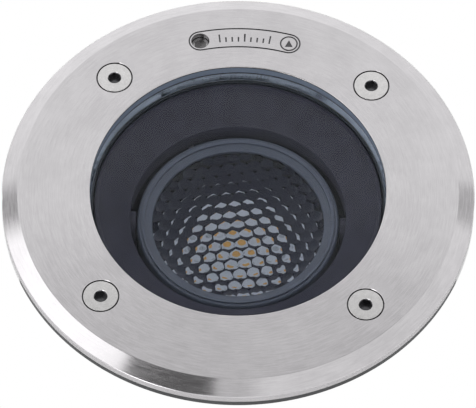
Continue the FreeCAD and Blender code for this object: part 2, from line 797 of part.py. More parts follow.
def make_pivot_pins():
    """Shoulder screws through the bushes into the head's lugs."""
    pins = []
    for side in (-1, 1):
        spans = [
            (PIVOT_THREAD_R, lug_in_x + FIT, lug_out_x),
            (PIVOT_R, lug_out_x, yoke_out_x + FREE),
            (PIVOT_HEAD_R, yoke_out_x + FREE, yoke_out_x + FREE + PIVOT_HEAD_T),
        ]
        pieces = []
        for radius, near, far in spans:
            low, high = sorted((side * near, side * far))
            pieces.append(cross_rod(radius, low, high, 0, pivot_z))
        head_far = yoke_out_x + FREE + PIVOT_HEAD_T
        low, high = sorted((side * (head_far - PIVOT_HEAD_T / 2), side * head_far))
        slot = block(low, high, -PIVOT_HEAD_R, PIVOT_HEAD_R, pivot_z - DRIVE_SLOT, pivot_z + DRIVE_SLOT)
        pins.append(joined(pieces).cut(slot))
    return group(pins)


# ---------------------------------------------------------------- lamp head

def make_lens_bezel():
    """Ring that slopes in to the lens, with a skirt over the can."""
    skirt_low = head_top - BEZEL_SKIRT_H
    return lathe([
        (bezel_in_r, bezel_in_z),
        (HEAD_R - BEZEL_EDGE, head_top),
        (HEAD_R, head_top - BEZEL_EDGE),
        (HEAD_R, skirt_low),
        (HEAD_R - BEZEL_SKIRT_T, skirt_low),
        (HEAD_R - BEZEL_SKIRT_T, can_top),
        (lens_r + FIT, can_top),
        (lens_r + FIT, lens_top),
        (bezel_in_r, lens_top),
    ])


def make_hex_lens():
    """Moulded lens disc with a raised field."""
    field_r = bezel_in_r - FIT
    return lathe([
        (0, lens_low),
        (lens_r, lens_low),
        (lens_r, lens_top),
        (field_r, lens_top),
        (field_r, lens_top + LENS_RISE - EDGE_BREAK),
        (field_r - EDGE_BREAK, lens_top + LENS_RISE),
        (0, lens_top + LENS_RISE),
    ])


def make_lens_gasket():
    """Seal between the lens and the can."""
    return ring(lens_r - LENS_GASKET_W, lens_r, can_top, lens_low)


def cone_top_r():
    """Radius of the light cone's mouth."""
    return lens_r - CONE_INSET


def make_light_cone():
    """Dark cone between the lens and the source holder."""
    top_z = can_top - CONE_DROP
    foot_r = SOURCE_HOLDER_R + FIT
    knee_z = can_floor_z + SOURCE_HOLDER_T
    slope = (cone_top_r() - foot_r) / (top_z - knee_z)
    skew = CONE_WALL * math.hypot(1.0, slope)
    return lathe([
        (foot_r, can_floor_z),
        (foot_r + CONE_WALL, can_floor_z),
        (foot_r + CONE_WALL, knee_z - (skew - CONE_WALL) / slope),
        (cone_top_r(), top_z - skew / slope),
        (cone_top_r(), top_z),
        (foot_r, knee_z),
    ])


def head_screw_places():
    """X and Y of the screws between the can and the heat sink."""
    return [polar(PAD_R - HEAD_SCREW_INSET, 90 + 120 * index) for index in range(3)]


def head_screw_tip_z():
    """Lower end of the screws into the heat sink."""
    return sink_base_low + SINK_BASE / 4


def make_head_can():
    """Cast can: neck for the bezel, floor for the source, lugs for the pivots, pad for the lever."""
    neck_in_r = lens_r - LENS_GASKET_W
    can_in_r = HEAD_R - CAN_WALL
    shell = lathe([
        (0, can_low),
        (HEAD_R, can_low),
        (HEAD_R, can_step_z),
        (can_neck_r, can_step_z),
        (can_neck_r, can_top),
        (neck_in_r, can_top),
        (neck_in_r, can_step_z),
        (can_in_r, can_step_z - (can_in_r - neck_in_r)),
        (can_in_r, can_floor_z),
        (0, can_floor_z),
    ])
    pieces = [shell]
    for side in (-1, 1):
        low, high = sorted((side * lug_in_x, side * lug_out_x))
        root_low, root_high = sorted((side * (HEAD_R - CAN_WALL / 2), side * lug_out_x))
        pieces.append(cross_rod(LUG_R, low, high, 0, pivot_z))
        pieces.append(block(low, high, -LUG_R, LUG_R, can_low + LUG_ROOT, pivot_z))
        pieces.append(block(root_low, root_high, -LUG_R, LUG_R, can_low + LUG_ROOT, can_step_z))
    pad_x = adjust_x + LEVER_T / 2
    pad_in_y = lever_in_y - LEVER_PAD_ROOT
    pieces.append(block(pad_x, pad_x + LEVER_PAD_W, pad_in_y, lever_block_y, lever_low, lever_top))
    body = joined(pieces)
    body = body.cut(rod(can_in_r, can_floor_z, can_step_z - (can_in_r - neck_in_r)))
    for side in (-1, 1):
        low, high = sorted((side * lug_in_x, side * lug_out_x))
        body = body.cut(cross_rod(PIVOT_THREAD_R + THREAD, low, high, 0, pivot_z))
    for y, z in lever_screw_places():
        body = body.cut(cross_rod(M3[0] + THREAD, pad_x, pad_x + GRIP_LEVER + HOLE_SPARE, y, z))
    for x, y in head_screw_places():
        body = body.cut(rod(M3[0] + FIT, can_low, can_floor_z, x, y))
    hole_low = can_floor_z - GRIP_CAN - HOLE_SPARE
    for side in (-1, 1):
        body = body.cut(rod(M3[0] + THREAD, hole_low, can_floor_z, side * holder_screw_x(), 0))
    return body


def make_thermal_pad():
    """Soft pad between the can and the heat sink."""
    pad = rod(PAD_R, sink_top, can_low)
    for x, y in head_screw_places():
        pad = pad.cut(rod(M3[0] + FIT, sink_top, can_low, x, y))
    return pad


def make_heat_sink():
    """Disc with parallel fins below it."""
    pieces = [rod(SINK_R, sink_base_low, sink_top)]
    envelope = rod(SINK_R, sink_low, sink_base_low + FIN_ROOT)
    count = int(SINK_R // SINK_PITCH)
    for index in range(-count, count + 1):
        middle = index * SINK_PITCH
        low, high = middle - SINK_FIN_T / 2, middle + SINK_FIN_T / 2
        fin = block(low, high, -SINK_R, SINK_R, sink_low, sink_base_low + FIN_ROOT)
        pieces.append(fin.common(envelope))
    body = joined(pieces)
    for x, y in head_screw_places():
        body = body.cut(rod(M3[0] + THREAD, head_screw_tip_z() - HOLE_SPARE, sink_top, x, y))
    return body


def make_head_screws():
    """Screws from inside the can into the heat sink."""
    return group([pan_screw(M3, x, y, can_floor_z, head_screw_tip_z()) for x, y in head_screw_places()])


def holder_screw_x():
    """Distance of the holder's screws from the axis."""
    return SOURCE_HOLDER_R - HOLDER_SCREW_INSET


def holder_seat_z():
    """Height of the recessed seats for the holder's screws."""
    return can_floor_z + SOURCE_HOLDER_T - M3[2] - FIT / 2


def make_cob_holder():
    """Pale holder ring that presses the source's board down."""
    top = can_floor_z + SOURCE_HOLDER_T
    body = lathe([
        (SOURCE_WINDOW_R, can_floor_z),
        (SOURCE_HOLDER_R, can_floor_z),
        (SOURCE_HOLDER_R, top - HOLDER_EDGE),
        (SOURCE_HOLDER_R - HOLDER_EDGE, top),
        (SOURCE_WINDOW_R + SOURCE_WINDOW_EDGE, top),
        (SOURCE_WINDOW_R, top - SOURCE_WINDOW_EDGE),
    ])
    half = SOURCE_BOARD / 2 + FIT
    body = body.cut(block(-half, half, -half, half, can_floor_z, can_floor_z + SOURCE_BOARD_T))
    for side in (-1, 1):
        x = side * holder_screw_x()
        body = body.cut(rod(M3[0] + FIT, can_floor_z, top, x, 0))
        body = body.cut(rod(M3[1] + FIT, holder_seat_z(), top, x, 0))
    return body


def make_holder_screws():
    """Two screws through the holder."""
    tip = can_floor_z - GRIP_CAN
    return group([pan_screw(M3, side * holder_screw_x(), 0, holder_seat_z(), tip) for side in (-1, 1)])


def make_cob_board():
    """Square board of the light source."""
    half = SOURCE_BOARD / 2
    board = block(-half, half, -half, half, can_floor_z, can_floor_z + SOURCE_BOARD_T)
    for side in (-1, 1):
        x = side * holder_screw_x()
        board = board.cut(rod(M3[0] + FIT, can_floor_z, can_floor_z + SOURCE_BOARD_T, x, 0))
    return board


def make_cob_phosphor():
    """Amber disc of the light source."""
    low = can_floor_z + SOURCE_BOARD_T
    return rod(SOURCE_R, low, low + SOURCE_T)


# ---------------------------------------------------------------- tilt adjuster

def lever_screw_places():
    """Y and Z of the lever's screws."""
    return [(lever_mid_y, lever_top - LEVER_SCREW_EDGE), (lever_mid_y, lever_low + LEVER_SCREW_EDGE)]


def make_tilt_lever():
    """Plate from the can's pad out to the lever pin."""
    x_low = adjust_x - LEVER_T / 2
    x_high = adjust_x + LEVER_T / 2
    upper = math.radians(LEVER_TANGENT_DEG)
    lower = upper - math.pi
    outline = [
        (lever_in_y, lever_low),
        (lever_block_y, lever_low),
        (pin_y + LEVER_EYE_R * math.cos(lower), pin_z + LEVER_EYE_R * math.sin(lower)),
        (pin_y + LEVER_EYE_R * math.cos(upper), pin_z + LEVER_EYE_R * math.sin(upper)),
        (lever_block_y, lever_top),
        (lever_in_y, lever_top),
    ]
    body = joined([side_plate(outline, x_low, x_high), cross_rod(LEVER_EYE_R, x_low, x_high, pin_y, pin_z)])
    body = body.cut(cross_rod(LEVER_PIN_R + THREAD, x_low, x_high, pin_y, pin_z))
    for y, z in lever_screw_places():
        body = body.cut(cross_rod(M3[0] + FIT, x_low, x_high, y, z))
    return body


def make_lever_screws():
    """Two screws through the lever into the can's pad."""
    shank_r, head_r, head_h = M3
    seat = adjust_x - LEVER_T / 2
    screws = []
    for y, z in lever_screw_places():
        head = cross_rod(head_r, seat - head_h, seat, y, z)
        shank = cross_rod(shank_r, seat, seat + LEVER_T + GRIP_LEVER, y, z)
        half = DRIVE_SLOT
        slot = block(seat - head_h, seat - head_h / 2, y - head_r, y + head_r, z - half, z + half)
        screws.append(joined([head, shank]).cut(slot))
    return group(screws)


def cheek_in_x():
    """Half the gap between the carriage's cheeks."""
    return LEVER_T / 2 + FREE


def make_lever_pin():
    """Cross pin at the lever's end."""
    reach = cheek_in_x() + CHEEK_T
    return cross_rod(LEVER_PIN_R, adjust_x - reach, adjust_x + reach, pin_y, pin_z)


def make_adjust_nut():
    """Brass carriage: a threaded barrel on the screw and two slotted cheeks round the lever."""
    reach = cheek_in_x() + CHEEK_T
    cheek_in_y = pin_y_min - LEVER_PIN_R - SLOT_END
    barrel = rod(CARRIAGE_R, carriage_low, carriage_top, adjust_x, adjust_y)
    half = CHEEK_H / 2
    cheek_top = pin_z + CARRIAGE_ABOVE
    cheeks = block(adjust_x - reach, adjust_x + reach, cheek_in_y, adjust_y, pin_z - half, cheek_top)
    gap_end = adjust_y - ADJUST_NECK_R - BARREL_WALL
    gap_half = cheek_in_x()
    gap = block(adjust_x - gap_half, adjust_x + gap_half, cheek_in_y, gap_end, carriage_low, carriage_top)
    slot_r = LEVER_PIN_R + FREE
    slot_far = pin_reach + FREE / 2
    slot_near = pin_y_min - FREE / 2
    slot = joined([
        cross_rod(slot_r, adjust_x - reach, adjust_x + reach, slot_far, pin_z),
        cross_rod(slot_r, adjust_x - reach, adjust_x + reach, slot_near, pin_z),
        block(adjust_x - reach, adjust_x + reach, slot_near, slot_far, pin_z - slot_r, pin_z + slot_r),
    ])
    body = joined([barrel, cheeks]).cut(gap).cut(slot)
    return body.cut(rod(ADJUST_NECK_R + RUN, carriage_low, carriage_top, adjust_x, adjust_y))


def make_adjust_bush():
    """Brass bush pressed into the frame: seal seat in its head and a shoulder inside."""
    outline = [
        (BUSH_R, bush_step),
        (BUSH_R, bush_low),
        (ADJUST_NECK_R + RUN, bush_low),
        (ADJUST_NECK_R + RUN, adjust_shoulder - FIT),
        (ADJUST_R + RUN, adjust_shoulder - FIT),
        (ADJUST_R + RUN, glass_top - SEAL_H - FIT),
        (SEAL_R + RUN, glass_top - SEAL_H - FIT),
        (SEAL_R + RUN, glass_top),
        (BUSH_HEAD_R, glass_top),
        (BUSH_HEAD_R, bush_step),
    ]
    return lathe(outline, adjust_x, adjust_y)


def make_adjust_seal():
    """Rubber ring round the adjuster's head."""
    low = glass_top - SEAL_H - FIT / 2
    return ring(ADJUST_R + RUN, SEAL_R, low, low + SEAL_H, adjust_x, adjust_y)


def make_adjust_screw():
    """Adjuster spindle: socket head, neck, clip groove, thread and lower journal."""
    clip_low = clip_top - CLIP_T
    groove_r = ADJUST_TIP_R
    outline = [
        (0, adjust_tip_z - ADJUST_TIP_L + FREE),
        (ADJUST_TIP_R, adjust_tip_z - ADJUST_TIP_L + FREE),
        (ADJUST_TIP_R, adjust_tip_z),
        (ADJUST_NECK_R, adjust_tip_z + ADJUST_NECK_R - ADJUST_TIP_R),
        (ADJUST_NECK_R, clip_low - RUN),
        (groove_r, clip_low - RUN),
        (groove_r, clip_top + RUN),
        (ADJUST_NECK_R, clip_top + RUN),
        (ADJUST_NECK_R, adjust_shoulder),
        (ADJUST_R, adjust_shoulder),
        (ADJUST_R, adjust_top),
        (0, adjust_top),
    ]
    body = lathe(outline, adjust_x, adjust_y)
    return body.cut(hexagon(HEX_KEY, adjust_top - HEX_DEPTH, adjust_top, adjust_x, adjust_y))


def make_screw_clip():
    """Open spring clip in the spindle's groove."""
    low = clip_top - CLIP_T
    body = ring(ADJUST_TIP_R + RUN, CLIP_R, low, clip_top, adjust_x, adjust_y)
    x_low, x_high = adjust_x - CLIP_MOUTH, adjust_x + CLIP_MOUTH
    return body.cut(block(x_low, x_high, adjust_y - CLIP_R, adjust_y, low, clip_top))


# ---------------------------------------------------------------- electrical gear

def make_driver_case():
    """Open tray of the driver with two screw ears."""
    half_l = DRIVER_L / 2
    half_w = DRIVER_W / 2
    lid_low = driver_top - DRIVER_WALL
    tray = block(-half_l, half_l, -half_w, half_w, driver_low, lid_low)
    ears = []
    for side in (-1, 1):
        low, high = sorted((side * (half_l - DRIVER_EAR_ROOT), side * (half_l + DRIVER_EAR)))
        ears.append(block(low, high, -FOOT_R, FOOT_R, driver_low, driver_low + DRIVER_EAR_T))
    body = joined([tray] + ears)
    hollow = block(
        -half_l + DRIVER_WALL, half_l - DRIVER_WALL,
        -half_w + DRIVER_WALL, half_w - DRIVER_WALL,
        driver_low + DRIVER_WALL, lid_low,
    )
    body = body.cut(hollow)
    for side in (-1, 1):
        ear_x = side * driver_foot_x
        body = body.cut(rod(M4[0] + FIT, driver_low, driver_low + DRIVER_EAR_T, ear_x, 0))
    return body


def make_driver_lid():
    """Flat lid of the driver."""
    half_l = DRIVER_L / 2
    half_w = DRIVER_W / 2
    return block(-half_l, half_l, -half_w, half_w, driver_top - DRIVER_WALL, driver_top)


def make_driver_core():
    """Potted circuit inside the driver."""
    half_l = DRIVER_L / 2 - DRIVER_WALL - FIT
    half_w = DRIVER_W / 2 - DRIVER_WALL - FIT
    low = driver_low + DRIVER_WALL
    return block(-half_l, half_l, -half_w, half_w, low, driver_top - DRIVER_WALL - FIT)


def make_driver_screws():
    """Two screws through the driver's ears."""
    seat = driver_low + DRIVER_EAR_T
    tip = pot_floor_z - GRIP_FLOOR
    return group([pan_screw(M4, side * driver_foot_x, 0, seat, tip) for side in (-1, 1)])


def terminal_screw_x():
    """Distance of the terminal block's screws from the middle."""
    return TERMINAL_L / 2 - TERMINAL_EDGE


def terminal_seat_z():
    """Height of the terminal block's screw seats."""
    return pot_floor_z + TERMINAL_H / 2


def make_terminal_block():
    """Insulating block with three wire clamps and two fixing holes."""
    half_l = TERMINAL_L / 2
    low_y = terminal_y - TERMINAL_W / 2
    high_y = terminal_y + TERMINAL_W / 2
    top = pot_floor_z + TERMINAL_H
    body = block(-half_l, half_l, low_y, high_y, pot_floor_z, top)
    for side in (-1, 1):
        x = side * terminal_screw_x()
        body = body.cut(rod(M3[0] + FIT, pot_floor_z, top, x, terminal_y))
        body = body.cut(rod(M3[1] + FIT, terminal_seat_z(), top, x, terminal_y))
    for index in (-1, 0, 1):
        x = index * terminal_pitch()
        body = body.cut(rod(M3[0] + FIT, pot_floor_z + CLAMP_FLOOR, top, x, terminal_y))
        start = FreeCAD.Vector(x, low_y, pot_floor_z + WIRE_RISE)
        body = body.cut(Part.makeCylinder(WIRE_R, TERMINAL_W, start, FreeCAD.Vector(0, 1, 0)))
    return body


def terminal_pitch():
    """Distance between the wire clamps."""
    return TERMINAL_L / 5


def make_terminal_screws():
    """Two fixing screws and three clamp screws of the terminal block."""
    screws = []
    for side in (-1, 1):
        x = side * terminal_screw_x()
        screws.append(pan_screw(M3, x, terminal_y, terminal_seat_z(), pot_floor_z - GRIP_FLOOR))
    top = pot_floor_z + TERMINAL_H - CLAMP_SUNK
    tip = pot_floor_z + WIRE_RISE + WIRE_R + HOLE_SPARE
    for index in (-1, 0, 1):
        x = index * terminal_pitch()
        clamp = rod(M3[0], tip, top, x, terminal_y)
        y_low, y_high = terminal_y - CLAMP_SLOT, terminal_y + CLAMP_SLOT
        screws.append(clamp.cut(block(x - M3[0], x + M3[0], y_low, y_high, top - CLAMP_SUNK, top)))
    return group(screws)


def make_earth_tag():
    """Bent solder tag under the earth screw."""
    seat = pot_floor_z + TAG_T
    x_low, x_high = earth_x - TAG_HALF_W, earth_x + TAG_HALF_W
    end_y = terminal_y - TAG_REACH
    eye = rod(TAG_R, pot_floor_z, seat, earth_x, terminal_y)
    tail = block(x_low, x_high, end_y, terminal_y, pot_floor_z, seat)
    blade = block(x_low, x_high, end_y, end_y + TAG_T, pot_floor_z, seat + TAG_BLADE_H)
    return joined([eye, tail, blade]).cut(rod(M4[0] + FIT, pot_floor_z, seat, earth_x, terminal_y))


def make_earth_screw():
    """Screw on the earth tag."""
    return pan_screw(M4, earth_x, terminal_y, pot_floor_z + TAG_T, pot_floor_z - GRIP_FLOOR)


def make_gland_washer():
    """Rubber washer under the gland's hexagon."""
    return ring(GLAND_R + FIT, GLAND_HEX / 2 - WASHER_INSET, washer_low, pot_low, 0, gland_y)


def make_gland_body():
    """Gland: thread through the floor, hexagon below it and a throat for the seal."""
    top = pot_floor_z + LOCKNUT_T + GLAND_OVER
    throat_low = gland_hex_low - GLAND_THROAT
    hexa = hexagon(GLAND_HEX, gland_hex_low, washer_low, 0, gland_y, 0.0)
    body = joined([hexa, rod(GLAND_R, throat_low, top, 0, gland_y)])
    body = body.cut(rod(CABLE_R + GLAND_BORE_GAP, gland_hex_low, top, 0, gland_y))
    return body.cut(rod(GLAND_SEAL_R + FIT, throat_low, gland_hex_low, 0, gland_y))


def gland_tip_z():
    """Lower end of the gland."""
    return washer_low - GLAND_LENGTH


def make_gland_seal():
    """Rubber insert that grips the cable."""
    return ring(CABLE_R, GLAND_SEAL_R, gland_tip_z() + GLAND_NUT_FLOOR, gland_hex_low, 0, gland_y)


def make_gland_nut():
    """Dome nut of the gland."""
    top = gland_hex_low - GLAND_NUT_GAP
    low = gland_tip_z()
    seat = low + GLAND_NUT_FLOOR
    step = gland_hex_low - GLAND_THROAT - FIT
    mouth_r = CABLE_R + GLAND_BORE_GAP
    outline = [
        (GLAND_R + THREAD, top),
        (gland_nut_r, top),
        (gland_nut_r, low + GLAND_DOME),
        (gland_nut_r - GLAND_DOME, low),
        (mouth_r, low),
        (mouth_r, seat),
        (GLAND_SEAL_R + FIT, seat),
        (GLAND_SEAL_R + FIT, step),
        (GLAND_R + THREAD, step),
    ]
    grips = []
    for index in range(GLAND_GRIPS):
        x, y = polar(gland_nut_r, 360.0 / GLAND_GRIPS * index)
        grips.append(rod(GLAND_GRIP_R, low + GLAND_DOME, top, x, gland_y + y))
    body = lathe(outline, 0, gland_y)
    for grip in grips:
        body = body.cut(grip)
    return body


def make_gland_locknut():
    """Nut inside the pot that holds the gland."""
    body = hexagon(GLAND_HEX, pot_floor_z, pot_floor_z + LOCKNUT_T, 0, gland_y, 0.0)
    return body.cut(rod(GLAND_R + THREAD, pot_floor_z, pot_floor_z + LOCKNUT_T, 0, gland_y))


def make_vent_plug():
    """Plug with a breathing membrane under the pot."""
    top = pot_floor_z + VENT_OVER
    low = pot_low - VENT_HEAD_H
    head = rod(VENT_R + VENT_HEAD_W, low, pot_low, vent_x, vent_y)
    body = joined([rod(VENT_R, pot_low, top, vent_x, vent_y), head])
    return body.cut(rod(VENT_HOLE_R, low, top, vent_x, vent_y))


def make_vent_nut():
    """Nut inside the pot that holds the vent plug."""
    top = pot_floor_z + VENT_NUT_T
    body = hexagon(VENT_HEX, pot_floor_z, top, vent_x, vent_y, 0.0)
    return body.cut(rod(VENT_R + THREAD, pot_floor_z, top, vent_x, vent_y))


# ---------------------------------------------------------------- sleeve and springs

def sleeve_rib_r():
    """Outer radius of the sleeve's ribs and hoops."""
    return sleeve_collar_r - FIT / 2


def make_mounting_sleeve():
    """Plastic sleeve set in the ground: flange, collar, ribs, hoops, foot ring and drain."""
    flange_r = TRIM_R - SLEEVE_FLANGE_INSET
    base_top = sleeve_low + SLEEVE_BASE_T
    shell = lathe([
        (sleeve_drain_r, sleeve_low),
        (sleeve_wall_r, sleeve_low),
        (sleeve_wall_r, -SLEEVE_COLLAR_H),
        (sleeve_collar_r, -SLEEVE_COLLAR_H),
        (sleeve_collar_r, 0),
        (flange_r, 0),
        (flange_r, SLEEVE_FLANGE_T),
        (sleeve_in_r, SLEEVE_FLANGE_T),
        (sleeve_in_r, base_top),
        (sleeve_drain_r, base_top),
    ])
    rib_r = sleeve_rib_r()
    rib_top = -SLEEVE_COLLAR_H - SLEEVE_RIB_GAP
    wall_mid = sleeve_in_r + SLEEVE_WALL / 2
    envelope = ring(wall_mid, rib_r, sleeve_low, rib_top)
    pieces = [shell]
    rib_start = 180.0 / SLEEVE_RIBS
    for index in range(SLEEVE_RIBS):
        rib = block(0, TRIM_R, -SLEEVE_RIB_W / 2, SLEEVE_RIB_W / 2, sleeve_low, rib_top)
        pieces.append(turned(rib, rib_start + 360.0 / SLEEVE_RIBS * index).common(envelope))
    spacing = (SLEEVE_DEPTH - SLEEVE_COLLAR_H) / (SLEEVE_HOOPS + 1)
    for index in range(1, SLEEVE_HOOPS + 1):
        hoop_top = -SLEEVE_COLLAR_H - spacing * index
        pieces.append(ring(wall_mid, rib_r, hoop_top - SLEEVE_HOOP_H, hoop_top))
    return joined(pieces).cut(cross_rod(CONDUIT_R + CONDUIT_WALL, -TRIM_R, TRIM_R, 0, conduit_z))


def make_conduit_sockets():
    """Two sockets for the conduit, set in the sleeve's wall; their rims stay inside the ribs' radius."""
    outer_r = CONDUIT_R + CONDUIT_WALL
    face_x = math.sqrt(sleeve_rib_r() ** 2 - outer_r ** 2)
    sockets = []
    for side in (-1, 1):
        low, high = sorted((side * (face_x - CONDUIT_LENGTH), side * face_x))
        bore = cross_rod(CONDUIT_R, low, high, 0, conduit_z)
        sockets.append(cross_rod(outer_r, low, high, 0, conduit_z).cut(bore))
    return group(sockets)


def make_retaining_springs():
    """Bowed leaf springs that hold the pot in the sleeve."""
    top = -SPRING_TOP
    flat_low = top - 2 * SPRING_SCREW_DROP
    low = top - SPRING_L
    middle = (flat_low + low) / 2
    near = pot_r
    bow = pot_r + SPRING_BOW
    bow_top = middle + SPRING_BOW_HALF
    bow_low = middle - SPRING_BOW_HALF
    inner = [(near, top), (near, flat_low), (bow, bow_top), (bow, bow_low), (near, low)]
    outer = [(r + SPRING_T, z) for r, z in reversed(inner)]
    springs = []
    half = SPRING_W / 2
    outline = [FreeCAD.Vector(r, -half, z) for r, z in inner + outer]
    leaf = Part.Face(Part.makePolygon(outline + outline[:1])).extrude(FreeCAD.Vector(0, SPRING_W, 0))
    leaf = leaf.cut(cross_rod(M4[0] + FIT, pot_in_r, sleeve_in_r, 0, spring_screw_z()))
    for degrees in spring_angles():
        springs.append(turned(leaf, degrees))
    return group(springs)


def make_spring_screws():
    """Low screws of the leaf springs."""
    seat = pot_r + SPRING_T
    screw = joined([
        cross_rod(M4[0], pot_in_r - GRIP_WALL, seat, 0, spring_screw_z()),
        cross_rod(M4[1], seat, seat + SPRING_HEAD_H, 0, spring_screw_z()),
    ])
    return group([turned(screw, degrees) for degrees in spring_angles()])


# ---------------------------------------------------------------- all sub-parts

def all_parts():
    """Every sub-part by its node name."""
    return {
        "trim_ring": make_trim_ring(),
        "trim_screws": make_trim_screws(),
        "trim_gasket": make_trim_gasket(),
        "front_glass": make_front_glass(),
        "glass_gasket": make_glass_gasket(),
        "glass_frame": make_glass_frame(),
        "frame_o_ring": make_frame_o_ring(),
        "housing_pot": make_housing_pot(),
        "glare_cup": make_glare_cup(),
        "cup_screws": make_cup_screws(),
        "yoke_left": make_yoke(-1),
        "yoke_right": make_yoke(1),
        "yoke_screws": make_yoke_screws(),
        "pivot_bushes": make_pivot_bushes(),
        "pivot_pins": make_pivot_pins(),
        "lens_bezel": make_lens_bezel(),
        "hex_lens": make_hex_lens(),
        "lens_gasket": make_lens_gasket(),
        "light_cone": make_light_cone(),
        "cob_holder": make_cob_holder(),
        "holder_screws": make_holder_screws(),
        "cob_board": make_cob_board(),
        "cob_phosphor": make_cob_phosphor(),
        "head_can": make_head_can(),
        "thermal_pad": make_thermal_pad(),
        "heat_sink": make_heat_sink(),
        "head_screws": make_head_screws(),
        "tilt_lever": make_tilt_lever(),
        "lever_screws": make_lever_screws(),
        "lever_pin": make_lever_pin(),
        "adjust_nut": make_adjust_nut(),
        "adjust_bush": make_adjust_bush(),
        "adjust_seal": make_adjust_seal(),
        "adjust_screw": make_adjust_screw(),
        "screw_clip": make_screw_clip(),
        "driver_case": make_driver_case(),
        "driver_lid": make_driver_lid(),
        "driver_core": make_driver_core(),
        "driver_screws": make_driver_screws(),
        "terminal_block": make_terminal_block(),
        "terminal_screws": make_terminal_screws(),
        "earth_tag": make_earth_tag(),
        "earth_screw": make_earth_screw(),
        "gland_washer": make_gland_washer(),
        "gland_body": make_gland_body(),
        "gland_seal": make_gland_seal(),
        "gland_nut": make_gland_nut(),
        "gland_locknut": make_gland_locknut(),
        "vent_plug": make_vent_plug(),
        "vent_nut": make_vent_nut(),
        "mounting_sleeve": make_mounting_sleeve(),
        "conduit_sockets": make_conduit_sockets(),
        "retaining_springs": make_retaining_springs(),
        "spring_screws": make_spring_screws(),
    }


def main():
    """Write one file per sub-part and print the motion's figures."""
    os.makedirs("parts", exist_ok=True)
    for name, shape in all_parts().items():
        valid = shape.isValid()
        print(f"{name:18s} solids {len(shape.Solids)} volume {shape.Volume:10.1f} valid {valid}")
        shape.exportStep(f"parts/{name}.step")
    print("tilt axis height", round(pivot_z, 3))
    print("adjuster at", round(adjust_x, 3), round(adjust_y, 3))
    print("carriage travel", round(carriage_travel, 4))
    print("adjuster turns", round(carriage_travel / ADJUST_LEAD, 4))
    print("tip", round(adjust_tip_z, 3), "conduit height", round(conduit_z, 3))
    print("gland at", round(gland_y, 3), "vent at", round(vent_x, 3), round(vent_y, 3))
    print("earth screw at", round(earth_x, 3), "drain radius", round(sleeve_drain_r, 3))


main()
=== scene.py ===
"""Looks of an in-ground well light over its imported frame: trim, glass, cup, lamp head, sleeve and studio."""

import json
import logging
import math
from dataclasses import dataclass
from enum import Enum
from typing import Callable, Dict, Iterable, List, Optional, Sequence, Tuple, Union

import bmesh
import bpy
from mathutils import Matrix, Vector

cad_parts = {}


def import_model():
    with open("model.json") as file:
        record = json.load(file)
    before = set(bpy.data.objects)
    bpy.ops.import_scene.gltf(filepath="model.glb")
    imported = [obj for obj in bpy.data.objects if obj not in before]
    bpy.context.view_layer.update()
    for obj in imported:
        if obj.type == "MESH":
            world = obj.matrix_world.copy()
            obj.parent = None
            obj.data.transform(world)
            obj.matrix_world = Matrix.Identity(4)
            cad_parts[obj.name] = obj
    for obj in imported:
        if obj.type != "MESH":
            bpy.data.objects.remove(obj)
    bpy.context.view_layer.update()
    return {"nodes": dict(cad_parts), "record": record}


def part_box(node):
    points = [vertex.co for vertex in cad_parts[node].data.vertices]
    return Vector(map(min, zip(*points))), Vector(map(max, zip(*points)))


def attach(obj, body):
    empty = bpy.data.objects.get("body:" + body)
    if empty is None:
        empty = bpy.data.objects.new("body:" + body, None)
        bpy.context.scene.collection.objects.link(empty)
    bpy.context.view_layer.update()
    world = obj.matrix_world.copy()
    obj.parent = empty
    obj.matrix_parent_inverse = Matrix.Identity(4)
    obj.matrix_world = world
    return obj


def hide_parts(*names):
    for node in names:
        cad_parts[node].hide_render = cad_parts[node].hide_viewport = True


MM = 0.001
WHITE = (1.0, 1.0, 1.0, 1.0)
WELD = 0.01 * MM
TOUCH = 0.0005 * MM
NEAR_AXIS = 1e-7
ROW = math.sqrt(0.75)
ROUND_STEPS, SMALL_STEPS = 256, 96
CLOUD_STEP = (0.3, 0.7)
GRAIN_STEP = (0.25, 0.75)
LOG = logging.getLogger("well_light")

Point = Tuple[float, float]
Corner = Tuple[float, float, float]
Colour = Tuple[float, float, float]
Number = Union[int, float]
Term = Union["Wire", Number]
Place = Union[str, int]
Piece = bpy.types.Object
Material = bpy.types.Material


# ------------------------------------------------------------------------------ node trees


class Wire:
    """An output socket that takes part in Python arithmetic; each operator adds one Math node."""

    def __init__(self, net: "Net", socket: bpy.types.NodeSocket) -> None:
        """Keep the tree and the socket.

        Args:
            net: the tree that the socket belongs to.
            socket: the output to work with.
        """
        self.net = net
        self.socket = socket

    def __add__(self, other: Term) -> "Wire":
        """Sum."""
        return self.net.math("ADD", self, other)

    __radd__ = __add__

    def __sub__(self, other: Term) -> "Wire":
        """Difference."""
        return self.net.math("SUBTRACT", self, other)

    def __rsub__(self, other: Number) -> "Wire":
        """Difference from a number."""
        return self.net.math("SUBTRACT", other, self)

    def __mul__(self, other: Term) -> "Wire":
        """Product."""
        return self.net.math("MULTIPLY", self, other)

    __rmul__ = __mul__

    def __truediv__(self, other: Term) -> "Wire":
        """Quotient."""
        return self.net.math("DIVIDE", self, other)

    def __rtruediv__(self, other: Number) -> "Wire":
        """Quotient of a number."""
        return self.net.math("DIVIDE", other, self)

    def __pow__(self, other: Number) -> "Wire":
        """Power."""
        return self.net.math("POWER", self, other)

    def __mod__(self, other: Number) -> "Wire":
        """Remainder, never negative."""
        return self.net.math("FLOORED_MODULO", self, other)

    def __neg__(self) -> "Wire":
        """Opposite."""
        return self.net.math("MULTIPLY", self, -1.0)


Feed = Union[Wire, Number, Tuple[float, ...], str, bool, bpy.types.ID, None]
Feeds = Dict[Place, Feed]


